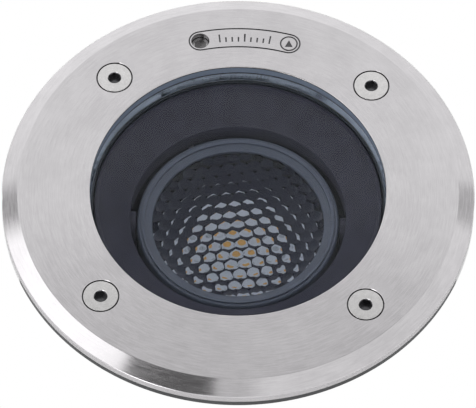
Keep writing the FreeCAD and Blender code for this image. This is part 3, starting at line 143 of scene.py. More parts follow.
class Net:
    """A node tree with one method that adds any node, and short forms of the frequent ones."""

    def __init__(self, tree: bpy.types.NodeTree) -> None:
        """Wrap a tree.

        Args:
            tree: a shader or geometry node tree.
        """
        self.tree = tree

    def add(self, kind: str, feeds: Optional[Feeds] = None, **settings: object) -> bpy.types.Node:
        """Add a node, set it up, then give its sockets their values or links.

        Args:
            kind: the node's type.
            feeds: values or wires by socket name or place.
            settings: attributes of the node.

        Returns:
            The new node.
        """
        node = self.tree.nodes.new(kind)
        for name, value in settings.items():
            setattr(node, name, value)
        for key, value in (feeds or {}).items():
            self.feed(node.inputs[key], value)
        return node

    def feed(self, socket: bpy.types.NodeSocket, value: Feed) -> None:
        """Give a socket a link or a value.

        Args:
            socket: the input.
            value: a wire, or a value of the socket's own type.
        """
        if isinstance(value, Wire):
            self.tree.links.new(value.socket, socket)
        elif value is not None:
            socket.default_value = value

    def wire(self, node: bpy.types.Node, key: Place = 0) -> Wire:
        """Output of a node as a wire."""
        return Wire(self, node.outputs[key])

    def put(self, kind: str, feeds: Optional[Feeds] = None, key: Place = 0, **settings: object) -> Wire:
        """Add a node and take one of its outputs.

        Args:
            kind: the node's type.
            feeds: values or wires by socket name or place.
            key: name or place of the output.
            settings: attributes of the node.

        Returns:
            The output as a wire.
        """
        return self.wire(self.add(kind, feeds, **settings), key)

    def math(self, operation: str, *values: Term) -> Wire:
        """Math node on wires or numbers."""
        return self.put("ShaderNodeMath", dict(enumerate(values)), operation=operation)

    def place(self) -> Wire:
        """Object coordinates."""
        return self.put("ShaderNodeTexCoord", None, "Object")

    def dot(self, a: Wire, b: Corner) -> Wire:
        """Dot product of a wire and a fixed vector."""
        return self.put("ShaderNodeVectorMath", {0: a, 1: b}, "Value", operation="DOT_PRODUCT")

    def span(self, value: Wire, low: float, high: float, at_low: float = 0.0, at_high: float = 1.0) -> Wire:
        """Smooth step between two values, carried to another range.

        Args:
            value: what is read.
            low: where the step starts.
            high: where it ends.
            at_low: result below the step.
            at_high: result above it.

        Returns:
            The carried value.
        """
        feeds = {"Value": value, "From Min": low, "From Max": high, "To Min": at_low, "To Max": at_high}
        return self.put("ShaderNodeMapRange", feeds, interpolation_type="SMOOTHSTEP")

    def noise(self, place: Wire, size: float, detail: float = 2.0, rough: float = 0.5) -> Wire:
        """Cloudy field of 0 to 1.

        Args:
            place: where the field is read.
            size: width of one cloud, in the units of the place.
            detail: finer layers.
            rough: weight of the finer layers.

        Returns:
            The field's value.
        """
        feeds = {"Vector": place, "Scale": 1.0 / size, "Detail": detail, "Roughness": rough}
        return self.put("ShaderNodeTexNoise", feeds)

    def blend(self, share: Wire, first: Union[Wire, Colour], second: Union[Wire, Colour]) -> Wire:
        """Colour between two colours.

        Args:
            share: 0 for the first, 1 for the second.
            first: colour at 0.
            second: colour at 1.

        Returns:
            The mixed colour.
        """
        first = first if isinstance(first, Wire) else (*first, 1.0)
        second = second if isinstance(second, Wire) else (*second, 1.0)
        return self.put("ShaderNodeMix", {0: share, 6: first, 7: second}, 2, data_type="RGBA")

    def axes(self, place: Wire) -> Tuple[Wire, Wire, Wire]:
        """X, Y and Z of a vector."""
        node = self.add("ShaderNodeSeparateXYZ", {0: place})
        return self.wire(node, 0), self.wire(node, 1), self.wire(node, 2)

    def join(self, x: Term, y: Term, z: Term) -> Wire:
        """Vector from its parts."""
        return self.put("ShaderNodeCombineXYZ", {0: x, 1: y, 2: z})


def length(x: Wire, y: Wire) -> Wire:
    """Length of a flat vector."""
    return (x * x + y * y) ** 0.5


def emptied(owner: Union[Material, bpy.types.World]) -> Net:
    """Node tree of a material or a world, with nothing in it.

    Args:
        owner: what the tree belongs to.

    Returns:
        The tree.
    """
    owner.use_nodes = True
    owner.node_tree.nodes.clear()
    return Net(owner.node_tree)


def new_material(name: str, surface: Callable[[Net], Wire]) -> Material:
    """Material with the surface that a function makes in its tree.

    Args:
        name: the material's name.
        surface: gives the shader's output.

    Returns:
        The material.
    """
    material = bpy.data.materials.new(name)
    net = emptied(material)
    net.add("ShaderNodeOutputMaterial", {"Surface": surface(net)})
    return material


# ------------------------------------------------------------------------------ finishes


@dataclass(frozen=True)
class Pattern:
    """What a finish varies over its surface, each 0 to 1."""

    cloud: Wire
    grain: Wire
    relief: Wire


@dataclass(frozen=True)
class Finish:
    """Surface whose colour drifts in clouds, whose gloss has a grain, and which has a fine relief."""

    colour: Colour
    roughness: float
    metallic: float = 0.0
    drift: float = 0.12
    cloud: float = 7 * MM
    grain: float = 0.5 * MM
    gloss_drift: float = 0.08
    relief: float = 0.02 * MM
    coat: float = 0.0
    shine: float = 0.5
    brushed: float = 0.0
    brush_turn: float = 0.25
    bump: float = 0.6
    cloud_share: float = 0.7
    grain_share: float = 0.3

    def pattern(self, net: Net, place: Wire) -> Pattern:
        """Clouds and grain in space.

        Args:
            net: the material's tree.
            place: object coordinates.

        Returns:
            The fields that the finish varies with.
        """
        grain = net.noise(place, self.grain, detail=3.0, rough=0.6)
        return Pattern(net.noise(place, self.cloud, detail=3.0, rough=0.55), grain, grain)

    def tone(self, net: Net, place: Wire, pattern: Pattern) -> Wire:
        """Colour that drifts between a darker and a lighter shade.

        Args:
            net: the material's tree.
            place: object coordinates; not used here.
            pattern: the finish's fields.

        Returns:
            The colour.
        """
        dark = tuple(c * (1.0 - self.drift) for c in self.colour)
        light = tuple(min(1.0, c * (1.0 + self.drift)) for c in self.colour)
        field = pattern.cloud * self.cloud_share + pattern.grain * self.grain_share
        return net.blend(net.span(field, *CLOUD_STEP), dark, light)

    def metal(self, net: Net, place: Wire) -> Union[Wire, float]:
        """How metallic the surface is; the same everywhere unless a finish says otherwise."""
        return self.metallic

    def shader(self, net: Net) -> Wire:
        """Principled surface of this finish.

        Args:
            net: the material's tree.

        Returns:
            The shader's output.
        """
        place = net.place()
        pattern = self.pattern(net, place)
        bump = {"Strength": self.bump, "Distance": self.relief, "Height": pattern.relief}
        polished, matt = self.roughness - self.gloss_drift, self.roughness + self.gloss_drift
        feeds = {
            "Base Color": self.tone(net, place, pattern),
            "Roughness": net.span(pattern.grain, *GRAIN_STEP, polished, matt),
            "Metallic": self.metal(net, place),
            "Coat Weight": self.coat,
            "Specular IOR Level": self.shine,
            "Anisotropic": self.brushed,
            "Anisotropic Rotation": self.brush_turn,
            "Normal": net.put("ShaderNodeBump", bump),
        }
        return net.put("ShaderNodeBsdfPrincipled", feeds)

    def material(self, name: str) -> Material:
        """Material of this finish, with its tree built.

        Args:
            name: the material's name.

        Returns:
            The material.
        """
        material = new_material(name, self.shader)
        material.diffuse_color = (*self.colour, 1.0)
        return material


@dataclass(frozen=True)
class RecessShadeFinish(Finish):
    """Metal with painted shade in its grooves and sockets below the face, less in the adjuster's bore."""

    shade_none: float = 7.85 * MM
    shade_full: float = 7.72 * MM
    inner: float = 53.0 * MM
    outer: float = 75.0 * MM
    adjuster: Point = (-15.773 * MM, 62.335 * MM)
    keep: float = 3.6 * MM
    spare: float = 0.45
    # colour of the painted shade in grooves and sockets
    recess_shade: Colour = (0.10, 0.10, 0.105)

    def tone(self, net: Net, place: Wire, pattern: Pattern) -> Wire:
        """Drifting colour, with painted shade below the face.

        Args:
            net: the material's tree.
            place: object coordinates.
            pattern: the finish's fields.

        Returns:
            The colour.
        """
        x, y, z = net.axes(place)
        away = length(x, y)
        beside = net.math("LESS_THAN", length(x - self.adjuster[0], y - self.adjuster[1]), self.keep)
        # painted shade: full deep below the face, fading out just under it, weaker beside the adjuster's bore,
        # only between the inner and outer radius
        deep = net.span(z, self.shade_full, self.shade_none, 1.0, 0.0) * (1.0 - beside * self.spare)
        beyond = net.span(away, self.inner, self.inner + MM)
        within = net.span(away, self.outer, self.outer + MM, 1.0, 0.0)
        return net.blend(deep * (beyond * within), super().tone(net, place, pattern), self.recess_shade)


@dataclass(frozen=True)
class ShadedLipSealFinish(Finish):
    """Pale rubber ring with painted shade at its inner lip."""

    dark: float = 51.32 * MM
    pale: float = 51.85 * MM
    # colour of the painted shade at the inner lip
    lip: Colour = (0.02, 0.025, 0.03)

    def tone(self, net: Net, place: Wire, pattern: Pattern) -> Wire:
        """Drifting colour, with painted shade at the inner edge.

        Args:
            net: the material's tree.
            place: object coordinates.
            pattern: the finish's fields.

        Returns:
            The colour.
        """
        x, y, _ = net.axes(place)
        # painted shade towards the seal's inner edge, standing for the dark gap under the glass
        inside = net.span(length(x, y), self.dark, self.pale, 1.0, 0.0)
        return net.blend(inside, super().tone(net, place, pattern), self.lip)


@dataclass(frozen=True)
class TurnedFinish(RecessShadeFinish):
    """Metal with fine rings round the light's axis, as a lathe and a brush leave them."""

    ring: float = 0.35 * MM
    arc: float = 0.10
    height_share: float = 0.6
    mottled: float = 0.55
    streaked: float = 0.6

    def pattern(self, net: Net, place: Wire) -> Pattern:
        """Streaks that are short across the rings and long along them.

        Args:
            net: the material's tree.
            place: object coordinates.

        Returns:
            The fields that the finish varies with.
        """
        x, y, z = net.axes(place)
        radius = length(x, y)
        across = (radius + self.height_share * z) / self.ring
        along = net.join(across, x / radius / self.arc, y / radius / self.arc)
        streak = net.noise(along, 1.0, detail=3.0, rough=0.65)
        mottle = net.noise(place, self.cloud, detail=4.0, rough=0.6)
        grit = net.noise(place, self.grain, detail=2.0, rough=0.6)
        cloud = mottle * self.mottled + streak * (1.0 - self.mottled)
        return Pattern(cloud, streak * self.streaked + grit * (1.0 - self.streaked), streak)


@dataclass(frozen=True)
class TrimPaintedLightFinish(TurnedFinish):
    """Brushed ring whose opening's wall carries a painted bluish reflection under a painted shadow line."""

    opening: float = 52.1 * MM
    # painted reflection: bluish colour of the opening's wall
    wall: Colour = (0.20, 0.245, 0.32)
    # painted shadow line along the top of the opening's wall
    edge: Colour = (0.02, 0.02, 0.022)
    shade_line_low: float = 7.45 * MM
    shade_line_high: float = 7.85 * MM
    dull: float = 0.8

    def inside(self, net: Net, place: Wire) -> Tuple[Wire, Wire]:
        """Share of the opening's wall, and the height.

        Args:
            net: the material's tree.
            place: object coordinates.

        Returns:
            The share and the height.
        """
        x, y, z = net.axes(place)
        near = net.math("LESS_THAN", length(x, y), self.opening)
        return near * net.math("LESS_THAN", z, self.shade_line_high), z

    def tone(self, net: Net, place: Wire, pattern: Pattern) -> Wire:
        """Ring's colour, a painted bluish reflection on the opening's wall and a painted shadow line at its
        edge.

        Args:
            net: the material's tree.
            place: object coordinates.
            pattern: the finish's fields.

        Returns:
            The colour.
        """
        near, z = self.inside(net, place)
        # painted shadow line near the top of the opening's wall, over the painted bluish reflection below it
        edge = net.math("GREATER_THAN", z, self.shade_line_low)
        ring = net.blend(near, super().tone(net, place, pattern), self.wall)
        return net.blend(near * edge, ring, self.edge)

    def metal(self, net: Net, place: Wire) -> Wire:
        """Bare metal on the ring, less metallic on the opening's wall, which carries the painted reflection.
        """
        return self.metallic - self.inside(net, place)[0] * self.dull


@dataclass(frozen=True)
class PaneFinish(Finish):
    """Clear polished pane that bends light, gives a weak gloss and lets the lamps' light through."""

    index: float = 1.5
    gloss: float = 0.02
    gloss_spread: float = 0.2
    polished: float = 0.02
    smeared: float = 0.1
    body: Colour = (0.97, 0.975, 0.98)

    def shader(self, net: Net) -> Wire:
        """Refraction with a little gloss; shadow rays pass.

        Args:
            net: the material's tree.

        Returns:
            The shader's output.
        """
        smear = net.noise(net.place(), self.cloud)
        body = {"Color": (*self.body, 1.0)}
        through = net.put("ShaderNodeBsdfRefraction", {**body, "Roughness": 0.0, "IOR": self.index})
        rough = net.span(smear, *CLOUD_STEP, self.polished, self.smeared)
        mirror = {"Base Color": (*self.colour, 1.0), "Roughness": rough, "Metallic": 1.0}
        shine = net.put("ShaderNodeBsdfPrincipled", mirror)
        weak, strong = self.gloss * (1.0 - self.gloss_spread), self.gloss * (1.0 + self.gloss_spread)
        gloss = net.span(smear, *CLOUD_STEP, weak, strong)
        surface = net.put("ShaderNodeMixShader", {0: gloss, 1: through, 2: shine})
        clear = net.put("ShaderNodeBsdfTransparent", body)
        shadow = net.put("ShaderNodeLightPath", None, "Is Shadow Ray")
        return net.put("ShaderNodeMixShader", {0: shadow, 1: surface, 2: clear})


class Slot(Enum):
    """Material slots of the record."""

    TRIM = "brushed_trim"
    BRIGHT = "bright_fastener"
    ZINC = "zinc_fastener"
    SPRING = "spring_steel"
    GLASS = "clear_glass"
    LENS = "clear_lens"
    RUBBER = "black_rubber"
    PAD = "grey_pad"
    SILICONE = "grey_silicone"
    CAST = "cast_aluminium"
    COATED = "black_coated_metal"
    SATIN = "satin_grey_metal"
    PLASTIC = "black_plastic"
    PALE = "pale_plastic"
    POTTING = "potting"
    PHOSPHOR = "amber_phosphor"
    BRASS = "brass_metal"


FINISHES: Dict[Slot, Finish] = {
    Slot.TRIM: TrimPaintedLightFinish(
        (0.60, 0.585, 0.60), 0.18, 1.0, 0.09, 11 * MM, 0.3 * MM, 0.05, 0.006 * MM, brushed=0.9
    ),
    # screws get painted shade in their sockets and grooves below the face
    Slot.BRIGHT: RecessShadeFinish((0.64, 0.63, 0.63), 0.24, 1.0, 0.06, 2 * MM, 0.2 * MM, 0.05, 0.004 * MM),
    Slot.ZINC: Finish((0.55, 0.57, 0.60), 0.34, 1.0, 0.10, 1.5 * MM, 0.2 * MM, 0.08, 0.01 * MM),
    Slot.SPRING: Finish((0.075, 0.08, 0.10), 0.40, 0.9, 0.15, 6 * MM, 0.3 * MM, 0.07, 0.01 * MM),
    Slot.GLASS: PaneFinish((0.85, 0.90, 0.95), 0.0, cloud=25 * MM, gloss=0.010),
    Slot.LENS: PaneFinish(
        (0.85, 0.90, 0.95), 0.0, cloud=10 * MM, index=1.49, gloss=0.004, body=(0.94, 0.955, 0.98)
    ),
    Slot.RUBBER: Finish((0.018, 0.018, 0.020), 0.62, 0.0, 0.25, 4 * MM, 0.25 * MM, 0.08, 0.03 * MM),
    Slot.PAD: Finish((0.30, 0.31, 0.33), 0.60, 0.0, 0.14, 5 * MM, 0.3 * MM, 0.08, 0.02 * MM),
    Slot.SILICONE: ShadedLipSealFinish((0.68, 0.79, 0.98), 0.50, 0.0, 0.04, 5 * MM, 0.3 * MM, 0.08, 0.02 * MM),
    # painted shade: cast aluminium coloured near black so the frame bore under the glass reads as the shaded
    # gap there
    Slot.CAST: Finish((0.07, 0.08, 0.10), 0.50, 0.6, 0.12, 5 * MM, 0.6 * MM, 0.08, 0.05 * MM),
    Slot.COATED: Finish(
        (0.036, 0.036, 0.056), 0.45, 0.0, 0.15, 6 * MM, 0.35 * MM, 0.07, 0.012 * MM, shine=0.25
    ),
    Slot.SATIN: Finish(
        (0.060, 0.075, 0.115), 0.38, 0.0, 0.10, 6 * MM, 0.35 * MM, 0.06, 0.02 * MM, shine=0.6
    ),
    Slot.PLASTIC: Finish((0.028, 0.029, 0.031), 0.50, 0.0, 0.25, 12 * MM, 0.5 * MM, 0.09, 0.04 * MM),
    Slot.PALE: Finish((0.78, 0.80, 0.84), 0.45, 0.0, 0.05, 4 * MM, 0.3 * MM, 0.06, 0.01 * MM),
    Slot.POTTING: Finish((0.05, 0.05, 0.055), 0.35, 0.0, 0.2, 9 * MM, 1.0 * MM, 0.1, 0.1 * MM),
    Slot.PHOSPHOR: Finish((0.95, 0.50, 0.12), 0.40, 0.0, 0.10, 2 * MM, 0.15 * MM, 0.08, 0.02 * MM, 0.3),
    Slot.BRASS: Finish((0.62, 0.47, 0.22), 0.30, 1.0, 0.10, 2 * MM, 0.2 * MM, 0.07, 0.01 * MM),
}


class Palette:
    """Materials by slot, each made once."""

    def __init__(self) -> None:
        """Make every finish's material."""
        self.materials = {slot: finish.material(slot.value) for slot, finish in FINISHES.items()}

    def dress(self, piece: Piece, slot: Slot) -> None:
        """Give a piece one slot's material alone.

        Args:
            piece: the object.
            slot: its material slot.
        """
        piece.data.materials.clear()
        piece.data.materials.append(self.materials[slot])


# ------------------------------------------------------------------------------ mesh tools


def polar(radius: float, degrees: float) -> Point:
    """X and Y at a radius and an angle from +X."""
    angle = math.radians(degrees)
    return radius * math.cos(angle), radius * math.sin(angle)


def rounded(corners: Sequence[Corner], steps: int = 5) -> List[Point]:
    """Outline whose corners are replaced with arcs.

    Args:
        corners: across, along and arc radius of each corner of a closed outline.
        steps: spans of each arc.

    Returns:
        Points of the smoothed outline.
    """
    points: List[Point] = []
    for index, (px, py, radius) in enumerate(corners):
        here = Vector((px, py))
        back = Vector(corners[index - 1][:2]) - here
        ahead = Vector(corners[(index + 1) % len(corners)][:2]) - here
        if radius <= 0.0:
            points.append((px, py))
            continue
        half = back.angle(ahead) / 2
        reach = min(radius / math.tan(half), back.length / 2.01, ahead.length / 2.01)
        start, end = here + back.normalized() * reach, here + ahead.normalized() * reach
        bulge = reach * math.tan(half)
        centre = here + (back.normalized() + ahead.normalized()).normalized() * math.hypot(reach, bulge)
        from_centre, to_centre = start - centre, end - centre
        turn = from_centre.angle_signed(to_centre)
        for step in range(steps + 1):
            spoke = from_centre.copy()
            spoke.rotate(Matrix.Rotation(-turn * step / steps, 2))
            points.append(tuple(centre + spoke))
    return points


def mesh_object(name: str, points: Sequence[Sequence[float]], faces: Sequence[Sequence[int]]) -> Piece:
    """Object from points and faces, with faces turned outwards.

    Args:
        name: the object's name.
        points: places in metres.
        faces: point numbers of each face.

    Returns:
        The new object.
    """
    mesh = bpy.data.meshes.new(name)
    mesh.from_pydata([tuple(p) for p in points], [], [tuple(f) for f in faces])
    piece = bpy.data.objects.new(name, mesh)
    bpy.context.scene.collection.objects.link(piece)
    tidy(piece)
    return piece


def tidy(piece: Piece) -> None:
    """Merge doubled points and turn faces outwards.

    Args:
        piece: the object.
    """
    work = bmesh.new()
    work.from_mesh(piece.data)
    bmesh.ops.remove_doubles(work, verts=work.verts, dist=TOUCH)
    bmesh.ops.recalc_face_normals(work, faces=work.faces)
    work.to_mesh(piece.data)
    work.free()


def lathe(name: str, outline: Sequence[Point], steps: int = ROUND_STEPS, centre: Point = (0.0, 0.0)) -> Piece:
    """Closed outline turned about an upright axis.

    Args:
        name: the object's name.
        outline: radius and height of each point; points on the axis become poles.
        steps: spans round the axis.
        centre: place of the axis.

    Returns:
        The turned object.
    """
    points: List[Corner] = []
    rows: List[List[int]] = []
    for radius, height in outline:
        first = len(points)
        if radius < NEAR_AXIS:
            points.append((centre[0], centre[1], height))
            rows.append([first] * steps)
            continue
        for step in range(steps):
            x, y = polar(radius, 360.0 * step / steps)
            points.append((centre[0] + x, centre[1] + y, height))
        rows.append(list(range(first, first + steps)))
    faces: List[List[int]] = []
    for row, after in zip(rows, rows[1:] + rows[:1]):
        for step in range(steps):
            ahead = (step + 1) % steps
            face = list(dict.fromkeys([row[step], row[ahead], after[ahead], after[step]]))
            if len(face) > 2:
                faces.append(face)
    return mesh_object(name, points, faces)


def rod(
    name: str, radius: float, low: float, high: float, steps: int = SMALL_STEPS, centre: Point = (0.0, 0.0)
) -> Piece:
    """Upright cylinder.

    Args:
        name: the object's name.
        radius: its radius.
        low: lower height.
        high: upper height.
        steps: spans round the axis.
        centre: place of the axis.

    Returns:
        The cylinder.
    """
    return lathe(name, [(0.0, low), (radius, low), (radius, high), (0.0, high)], steps, centre)


def oblong(left: float, right: float, half: float) -> List[Point]:
    """Corners of a rectangle that reaches as far to -Y as to +Y."""
    return [(left, -half), (right, -half), (right, half), (left, half)]


def prism(name: str, outline: Sequence[Point], low: float, high: float) -> Piece:
    """Flat outline pulled upwards.

    Args:
        name: the object's name.
        outline: X and Y of each point.
        low: lower height.
        high: upper height.

    Returns:
        The closed prism.
    """
    count = len(outline)
    points = [(x, y, low) for x, y in outline] + [(x, y, high) for x, y in outline]
    faces = [list(range(count)), list(range(count, 2 * count))]
    for index in range(count):
        ahead = (index + 1) % count
        faces.append([index, ahead, count + ahead, count + index])
    return mesh_object(name, points, faces)


def band(name: str, outer: Sequence[Point], inner: Sequence[Point], low: float, high: float) -> Piece:
    """Closed band between two outlines of as many points, pulled upwards.

    Args:
        name: the object's name.
        outer: outer outline.
        inner: inner outline.
        low: lower height.
        high: upper height.

    Returns:
        The band.
    """
    count = len(outer)
    points = [(x, y, z) for z in (low, high) for loop in (outer, inner) for x, y in loop]
    faces = []
    for index in range(count):
        ahead = (index + 1) % count
        for a, b in ((0, 1), (1, 3), (3, 2), (2, 0)):
            faces.append([a * count + index, a * count + ahead, b * count + ahead, b * count + index])
    return mesh_object(name, points, faces)


def settle(piece: Piece) -> Piece:
    """Turn a piece's modifiers into plain mesh.

    Args:
        piece: the object.

    Returns:
        The same object, without modifiers.
    """
    graph = bpy.context.evaluated_depsgraph_get()
    mesh = bpy.data.meshes.new_from_object(piece.evaluated_get(graph), depsgraph=graph)
    piece.modifiers.clear()
    piece.data = mesh
    return piece


def cut(piece: Piece, cutters: Iterable[Piece], how: str = "DIFFERENCE") -> Piece:
    """Take cutters away from a piece, or keep what lies in them, and remove them.

    Args:
        piece: what is cut.
        cutters: closed objects.
        how: the operation.

    Returns:
        The cut piece.
    """
    for cutter in cutters:
        modifier = piece.modifiers.new("cut", "BOOLEAN")
        modifier.operation = how
        modifier.solver = "EXACT"
        modifier.object = cutter
        settle(piece)
        bpy.data.objects.remove(cutter)
    return piece


def soften(piece: Piece, width: float, steps: int = 2, angle: float = 35.0) -> Piece:
    """Round a piece's sharp edges.

    Args:
        piece: the object.
        width: width of the rounding.
        steps: spans of it.
        angle: edges sharper than this are rounded, in degrees.

    Returns:
        The rounded piece.
    """
    modifier = piece.modifiers.new("edges", "BEVEL")
    modifier.width = width
    modifier.segments = steps
    modifier.limit_method = "ANGLE"
    modifier.angle_limit = math.radians(angle)
    return settle(piece)


def polish(piece: Piece, angle: float = 32.0) -> Piece:
    """Smooth shading with crisp edges, weighted by face size.

    Args:
        piece: the object.
        angle: edges sharper than this stay crisp, in degrees.

    Returns:
        The shaded piece.
    """
    piece.data.shade_smooth()
    piece.data.set_sharp_from_angle(angle=math.radians(angle))
    modifier = piece.modifiers.new("weights", "WEIGHTED_NORMAL")
    modifier.keep_sharp = True
    return settle(piece)


# ------------------------------------------------------------------------------ geometry nodes


class Grower(Net):
    """A Geometry Nodes tree with named inputs that is run once and turned into plain mesh."""

    KINDS = {int: "NodeSocketInt", float: "NodeSocketFloat", Piece: "NodeSocketObject"}

    def __init__(self, name: str, **sizes: Union[int, float, Piece]) -> None:
        """Start a tree whose inputs are the given sizes.

        Args:
            name: name of the tree and of what it makes.
            sizes: value of each named input.
        """
        super().__init__(bpy.data.node_groups.new(name, "GeometryNodeTree"))
        self.sizes = sizes
        face = self.tree.interface
        face.new_socket("Geometry", in_out="OUTPUT", socket_type="NodeSocketGeometry")
        face.new_socket("Geometry", in_out="INPUT", socket_type="NodeSocketGeometry")
        face.new_socket("Finish", in_out="INPUT", socket_type="NodeSocketMaterial")
        for key, value in sizes.items():
            kind = Piece if isinstance(value, Piece) else type(value)
            face.new_socket(key, in_out="INPUT", socket_type=self.KINDS[kind])
        self.source = self.add("NodeGroupInput")

    def size(self, key: str) -> Wire:
        """Wire of a named input."""
        return self.wire(self.source, key)

    def moved(self, shape: Wire, place: Wire) -> Wire:
        """Shape whose points are put in other places."""
        return self.put("GeometryNodeSetPosition", {"Geometry": shape, "Position": place})

    def welded(self, shape: Wire) -> Wire:
        """Shape whose touching points are one."""
        return self.put("GeometryNodeMergeByDistance", {"Geometry": shape, "Distance": WELD})

    def grow(self, shape: Wire, finish: Material) -> Piece:
        """End the tree, run it and keep the mesh.

        Args:
            shape: the geometry to keep.
            finish: its material.

        Returns:
            A plain mesh object without modifiers.
        """
        real = self.put("GeometryNodeRealizeInstances", {"Geometry": shape})
        dressed = {"Geometry": real, "Material": self.size("Finish")}
        self.add("NodeGroupOutput", {0: self.put("GeometryNodeSetMaterial", dressed)})
        name = self.tree.name
        piece = bpy.data.objects.new(name, bpy.data.meshes.new(name))
        bpy.context.scene.collection.objects.link(piece)
        modifier = piece.modifiers.new(name, "NODES")
        modifier.node_group = self.tree
        values = {"Finish": finish, **self.sizes}
        for item in self.tree.interface.items_tree:
            if item.in_out == "INPUT" and item.name in values:
                modifier[item.identifier] = values[item.name]
        return settle(piece)


def ring_copies(
    name: str,
    source: Piece,
    finish: Material,
    count: int,
    radius: float,
    first: float = 0.0,
    step: float = 0.0,
    spin: float = 0.0,
    seed: int = 3,
) -> Piece:
    """Copies of a source along an arc round the light's axis, each turned to face outwards.

    Args:
        name: name of the result.
        source: what is copied, modelled at the origin with +X outwards; it is used up.
        finish: material of the copies.
        count: number of copies.
        radius: distance from the axis.
        first: angle of the first copy, in degrees.
        step: angle between copies, in degrees; 0 spreads them over the circle.
        spin: most that a copy turns about its own axis by chance, in degrees.
        seed: fixes the chance.

    Returns:
        One mesh of all the copies.
    """
    grower = Grower(
        name,
        Source=source,
        Count=count,
        Radius=radius,
        First=math.radians(first),
        Step=math.radians(step or 360.0 / count),
        Spin=math.radians(spin),
        Seed=seed,
    )
    line = grower.put("GeometryNodeMeshLine", {"Count": grower.size("Count"), "Offset": (0.0, 0.0, 0.0)})
    number = grower.put("GeometryNodeInputIndex")
    angle = grower.size("First") + number * grower.size("Step")
    x, y = (grower.size("Radius") * grower.math(wave, angle) for wave in ("COSINE", "SINE"))
    points = grower.moved(line, grower.join(x, y, 0.0))
    draw = {2: -1.0, 3: 1.0, "ID": number, "Seed": grower.size("Seed")}
    chance = grower.put("FunctionNodeRandomValue", draw, 1, data_type="FLOAT")
    turn = grower.join(0.0, 0.0, angle + chance * grower.size("Spin"))
    model = {"Object": grower.size("Source")}
    shape = grower.put("GeometryNodeObjectInfo", model, "Geometry", transform_space="ORIGINAL")
    feeds = {"Points": points, "Instance": shape, "Rotation": turn}
    result = grower.grow(grower.put("GeometryNodeInstanceOnPoints", feeds), finish)
    bpy.data.objects.remove(source)
    return result


def hexagon_field(
    name: str,
    finish: Material,
    radius: float,
    pitch: float,
    rise: float,
    plate: float,
    twist: float,
    crown: float,
) -> Piece:
    """Plate whose top is a field of domed hexagons.

    Args:
        name: name of the result.
        finish: its material.
        radius: the field covers at least this radius.
        pitch: distance between neighbours in a row.
        rise: height of a dome over its corners.
        plate: thickness from the underside to the corners.
        twist: turn of the rows, in degrees.
        crown: power of a dome's outline; 2 is a parabola and more is flatter on top.

    Returns:
        One closed mesh with its underside at height 0.
    """
    rows = 2 * math.ceil(radius / (pitch * ROW)) + 3
    sizes = {"Radius": radius, "Pitch": pitch, "Rise": rise, "Plate": plate, "Crown": crown}
    grower = Grower(name, **sizes, Twist=math.radians(twist), Rows=rows)
    gap, count = grower.size("Pitch"), grower.size("Rows")
    row_gap, spans = gap * ROW, count - 1.0
    spread = {"Size X": spans * gap, "Size Y": spans * row_gap}
    grid = grower.put("GeometryNodeMeshGrid", {**spread, "Vertices X": count, "Vertices Y": count})
    x, y, z = grower.axes(grower.put("GeometryNodeInputPosition"))
    odd = grower.math("ROUND", y / row_gap) % 2.0
    staggered = grower.moved(grid, grower.join(x + odd * gap * 0.5, y, 0.0))
    far = grower.math("GREATER_THAN", length(x, y), grower.size("Radius") + gap)
    feeds = {"Geometry": staggered, "Selection": far}
    kept = grower.put("GeometryNodeDeleteGeometry", feeds, domain="POINT")
    cone = {"Vertices": 6, "Side Segments": 5, "Radius Top": 0.0, "Radius Bottom": gap / math.sqrt(3)}
    cell = grower.put("GeometryNodeMeshCone", {**cone, "Depth": gap}, "Mesh", fill_type="NONE")
    upright = grower.put("GeometryNodeTransform", {"Geometry": cell, "Rotation": (0.0, 0.0, math.pi / 6)})
    share = ((x * x + y * y) * 3.0) ** 0.5 / gap
    dome = grower.size("Rise") * (1.0 - share ** grower.size("Crown"))
    domed = grower.moved(upright, grower.join(x, y, dome))
    cells = grower.put("GeometryNodeInstanceOnPoints", {"Points": kept, "Instance": domed})
    real = grower.put("GeometryNodeRealizeInstances", {"Geometry": cells})
    turn = grower.join(0.0, 0.0, grower.size("Twist"))
    field = grower.welded(grower.put("GeometryNodeTransform", {"Geometry": real, "Rotation": turn}))
    neighbours = grower.put("GeometryNodeInputMeshEdgeNeighbors")
    walls = {
        "Mesh": field,
        "Selection": grower.math("COMPARE", neighbours, 1.0, 0.5),
        "Offset": grower.join(0.0, 0.0, -1.0),
        "Offset Scale": grower.size("Plate"),
    }
    deep = grower.put("GeometryNodeExtrudeMesh", walls, mode="EDGES")
    domes = grower.moved(deep, grower.join(x, y, z + grower.size("Plate")))
    under = grower.moved(field, grower.join(x, y, 0.0))
    whole = grower.add("GeometryNodeJoinGeometry")
    for part in (grower.put("GeometryNodeFlipFaces", {"Mesh": under}), domes):
        grower.feed(whole.inputs[0], part)
    return grower.grow(grower.welded(grower.wire(whole)), finish)


# ------------------------------------------------------------------------------ sub-assemblies


@dataclass
class Assembly:
    """A group of pieces that stands for nodes of the frame."""

    palette: Palette

    def place(self, piece: Piece, body: str, slot: Slot, *nodes: str) -> Piece:
        """Dress a finished piece and let it stand for its nodes.

        Args:
            piece: the piece.
            body: the body that it rides on.
            slot: its material slot.
            nodes: frame nodes that it stands for.

        Returns:
            The piece.
        """
        self.palette.dress(piece, slot)
        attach(piece, body)
        if nodes:
            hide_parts(*nodes)
        LOG.info("%s: %d faces on %s", piece.name, len(piece.data.polygons), body)
        return piece


def extent(node: str) -> Tuple[float, float, float]:
    """Radius about the light's axis, lowest and highest height of a round node."""
    low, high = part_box(node)
    return high.x, low.z, high.z


def floor_of(node: str) -> float:
    """Lowest height of a node."""
    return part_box(node)[0].z


def top_of(node: str) -> float:
    """Highest height of a node."""
    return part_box(node)[1].z


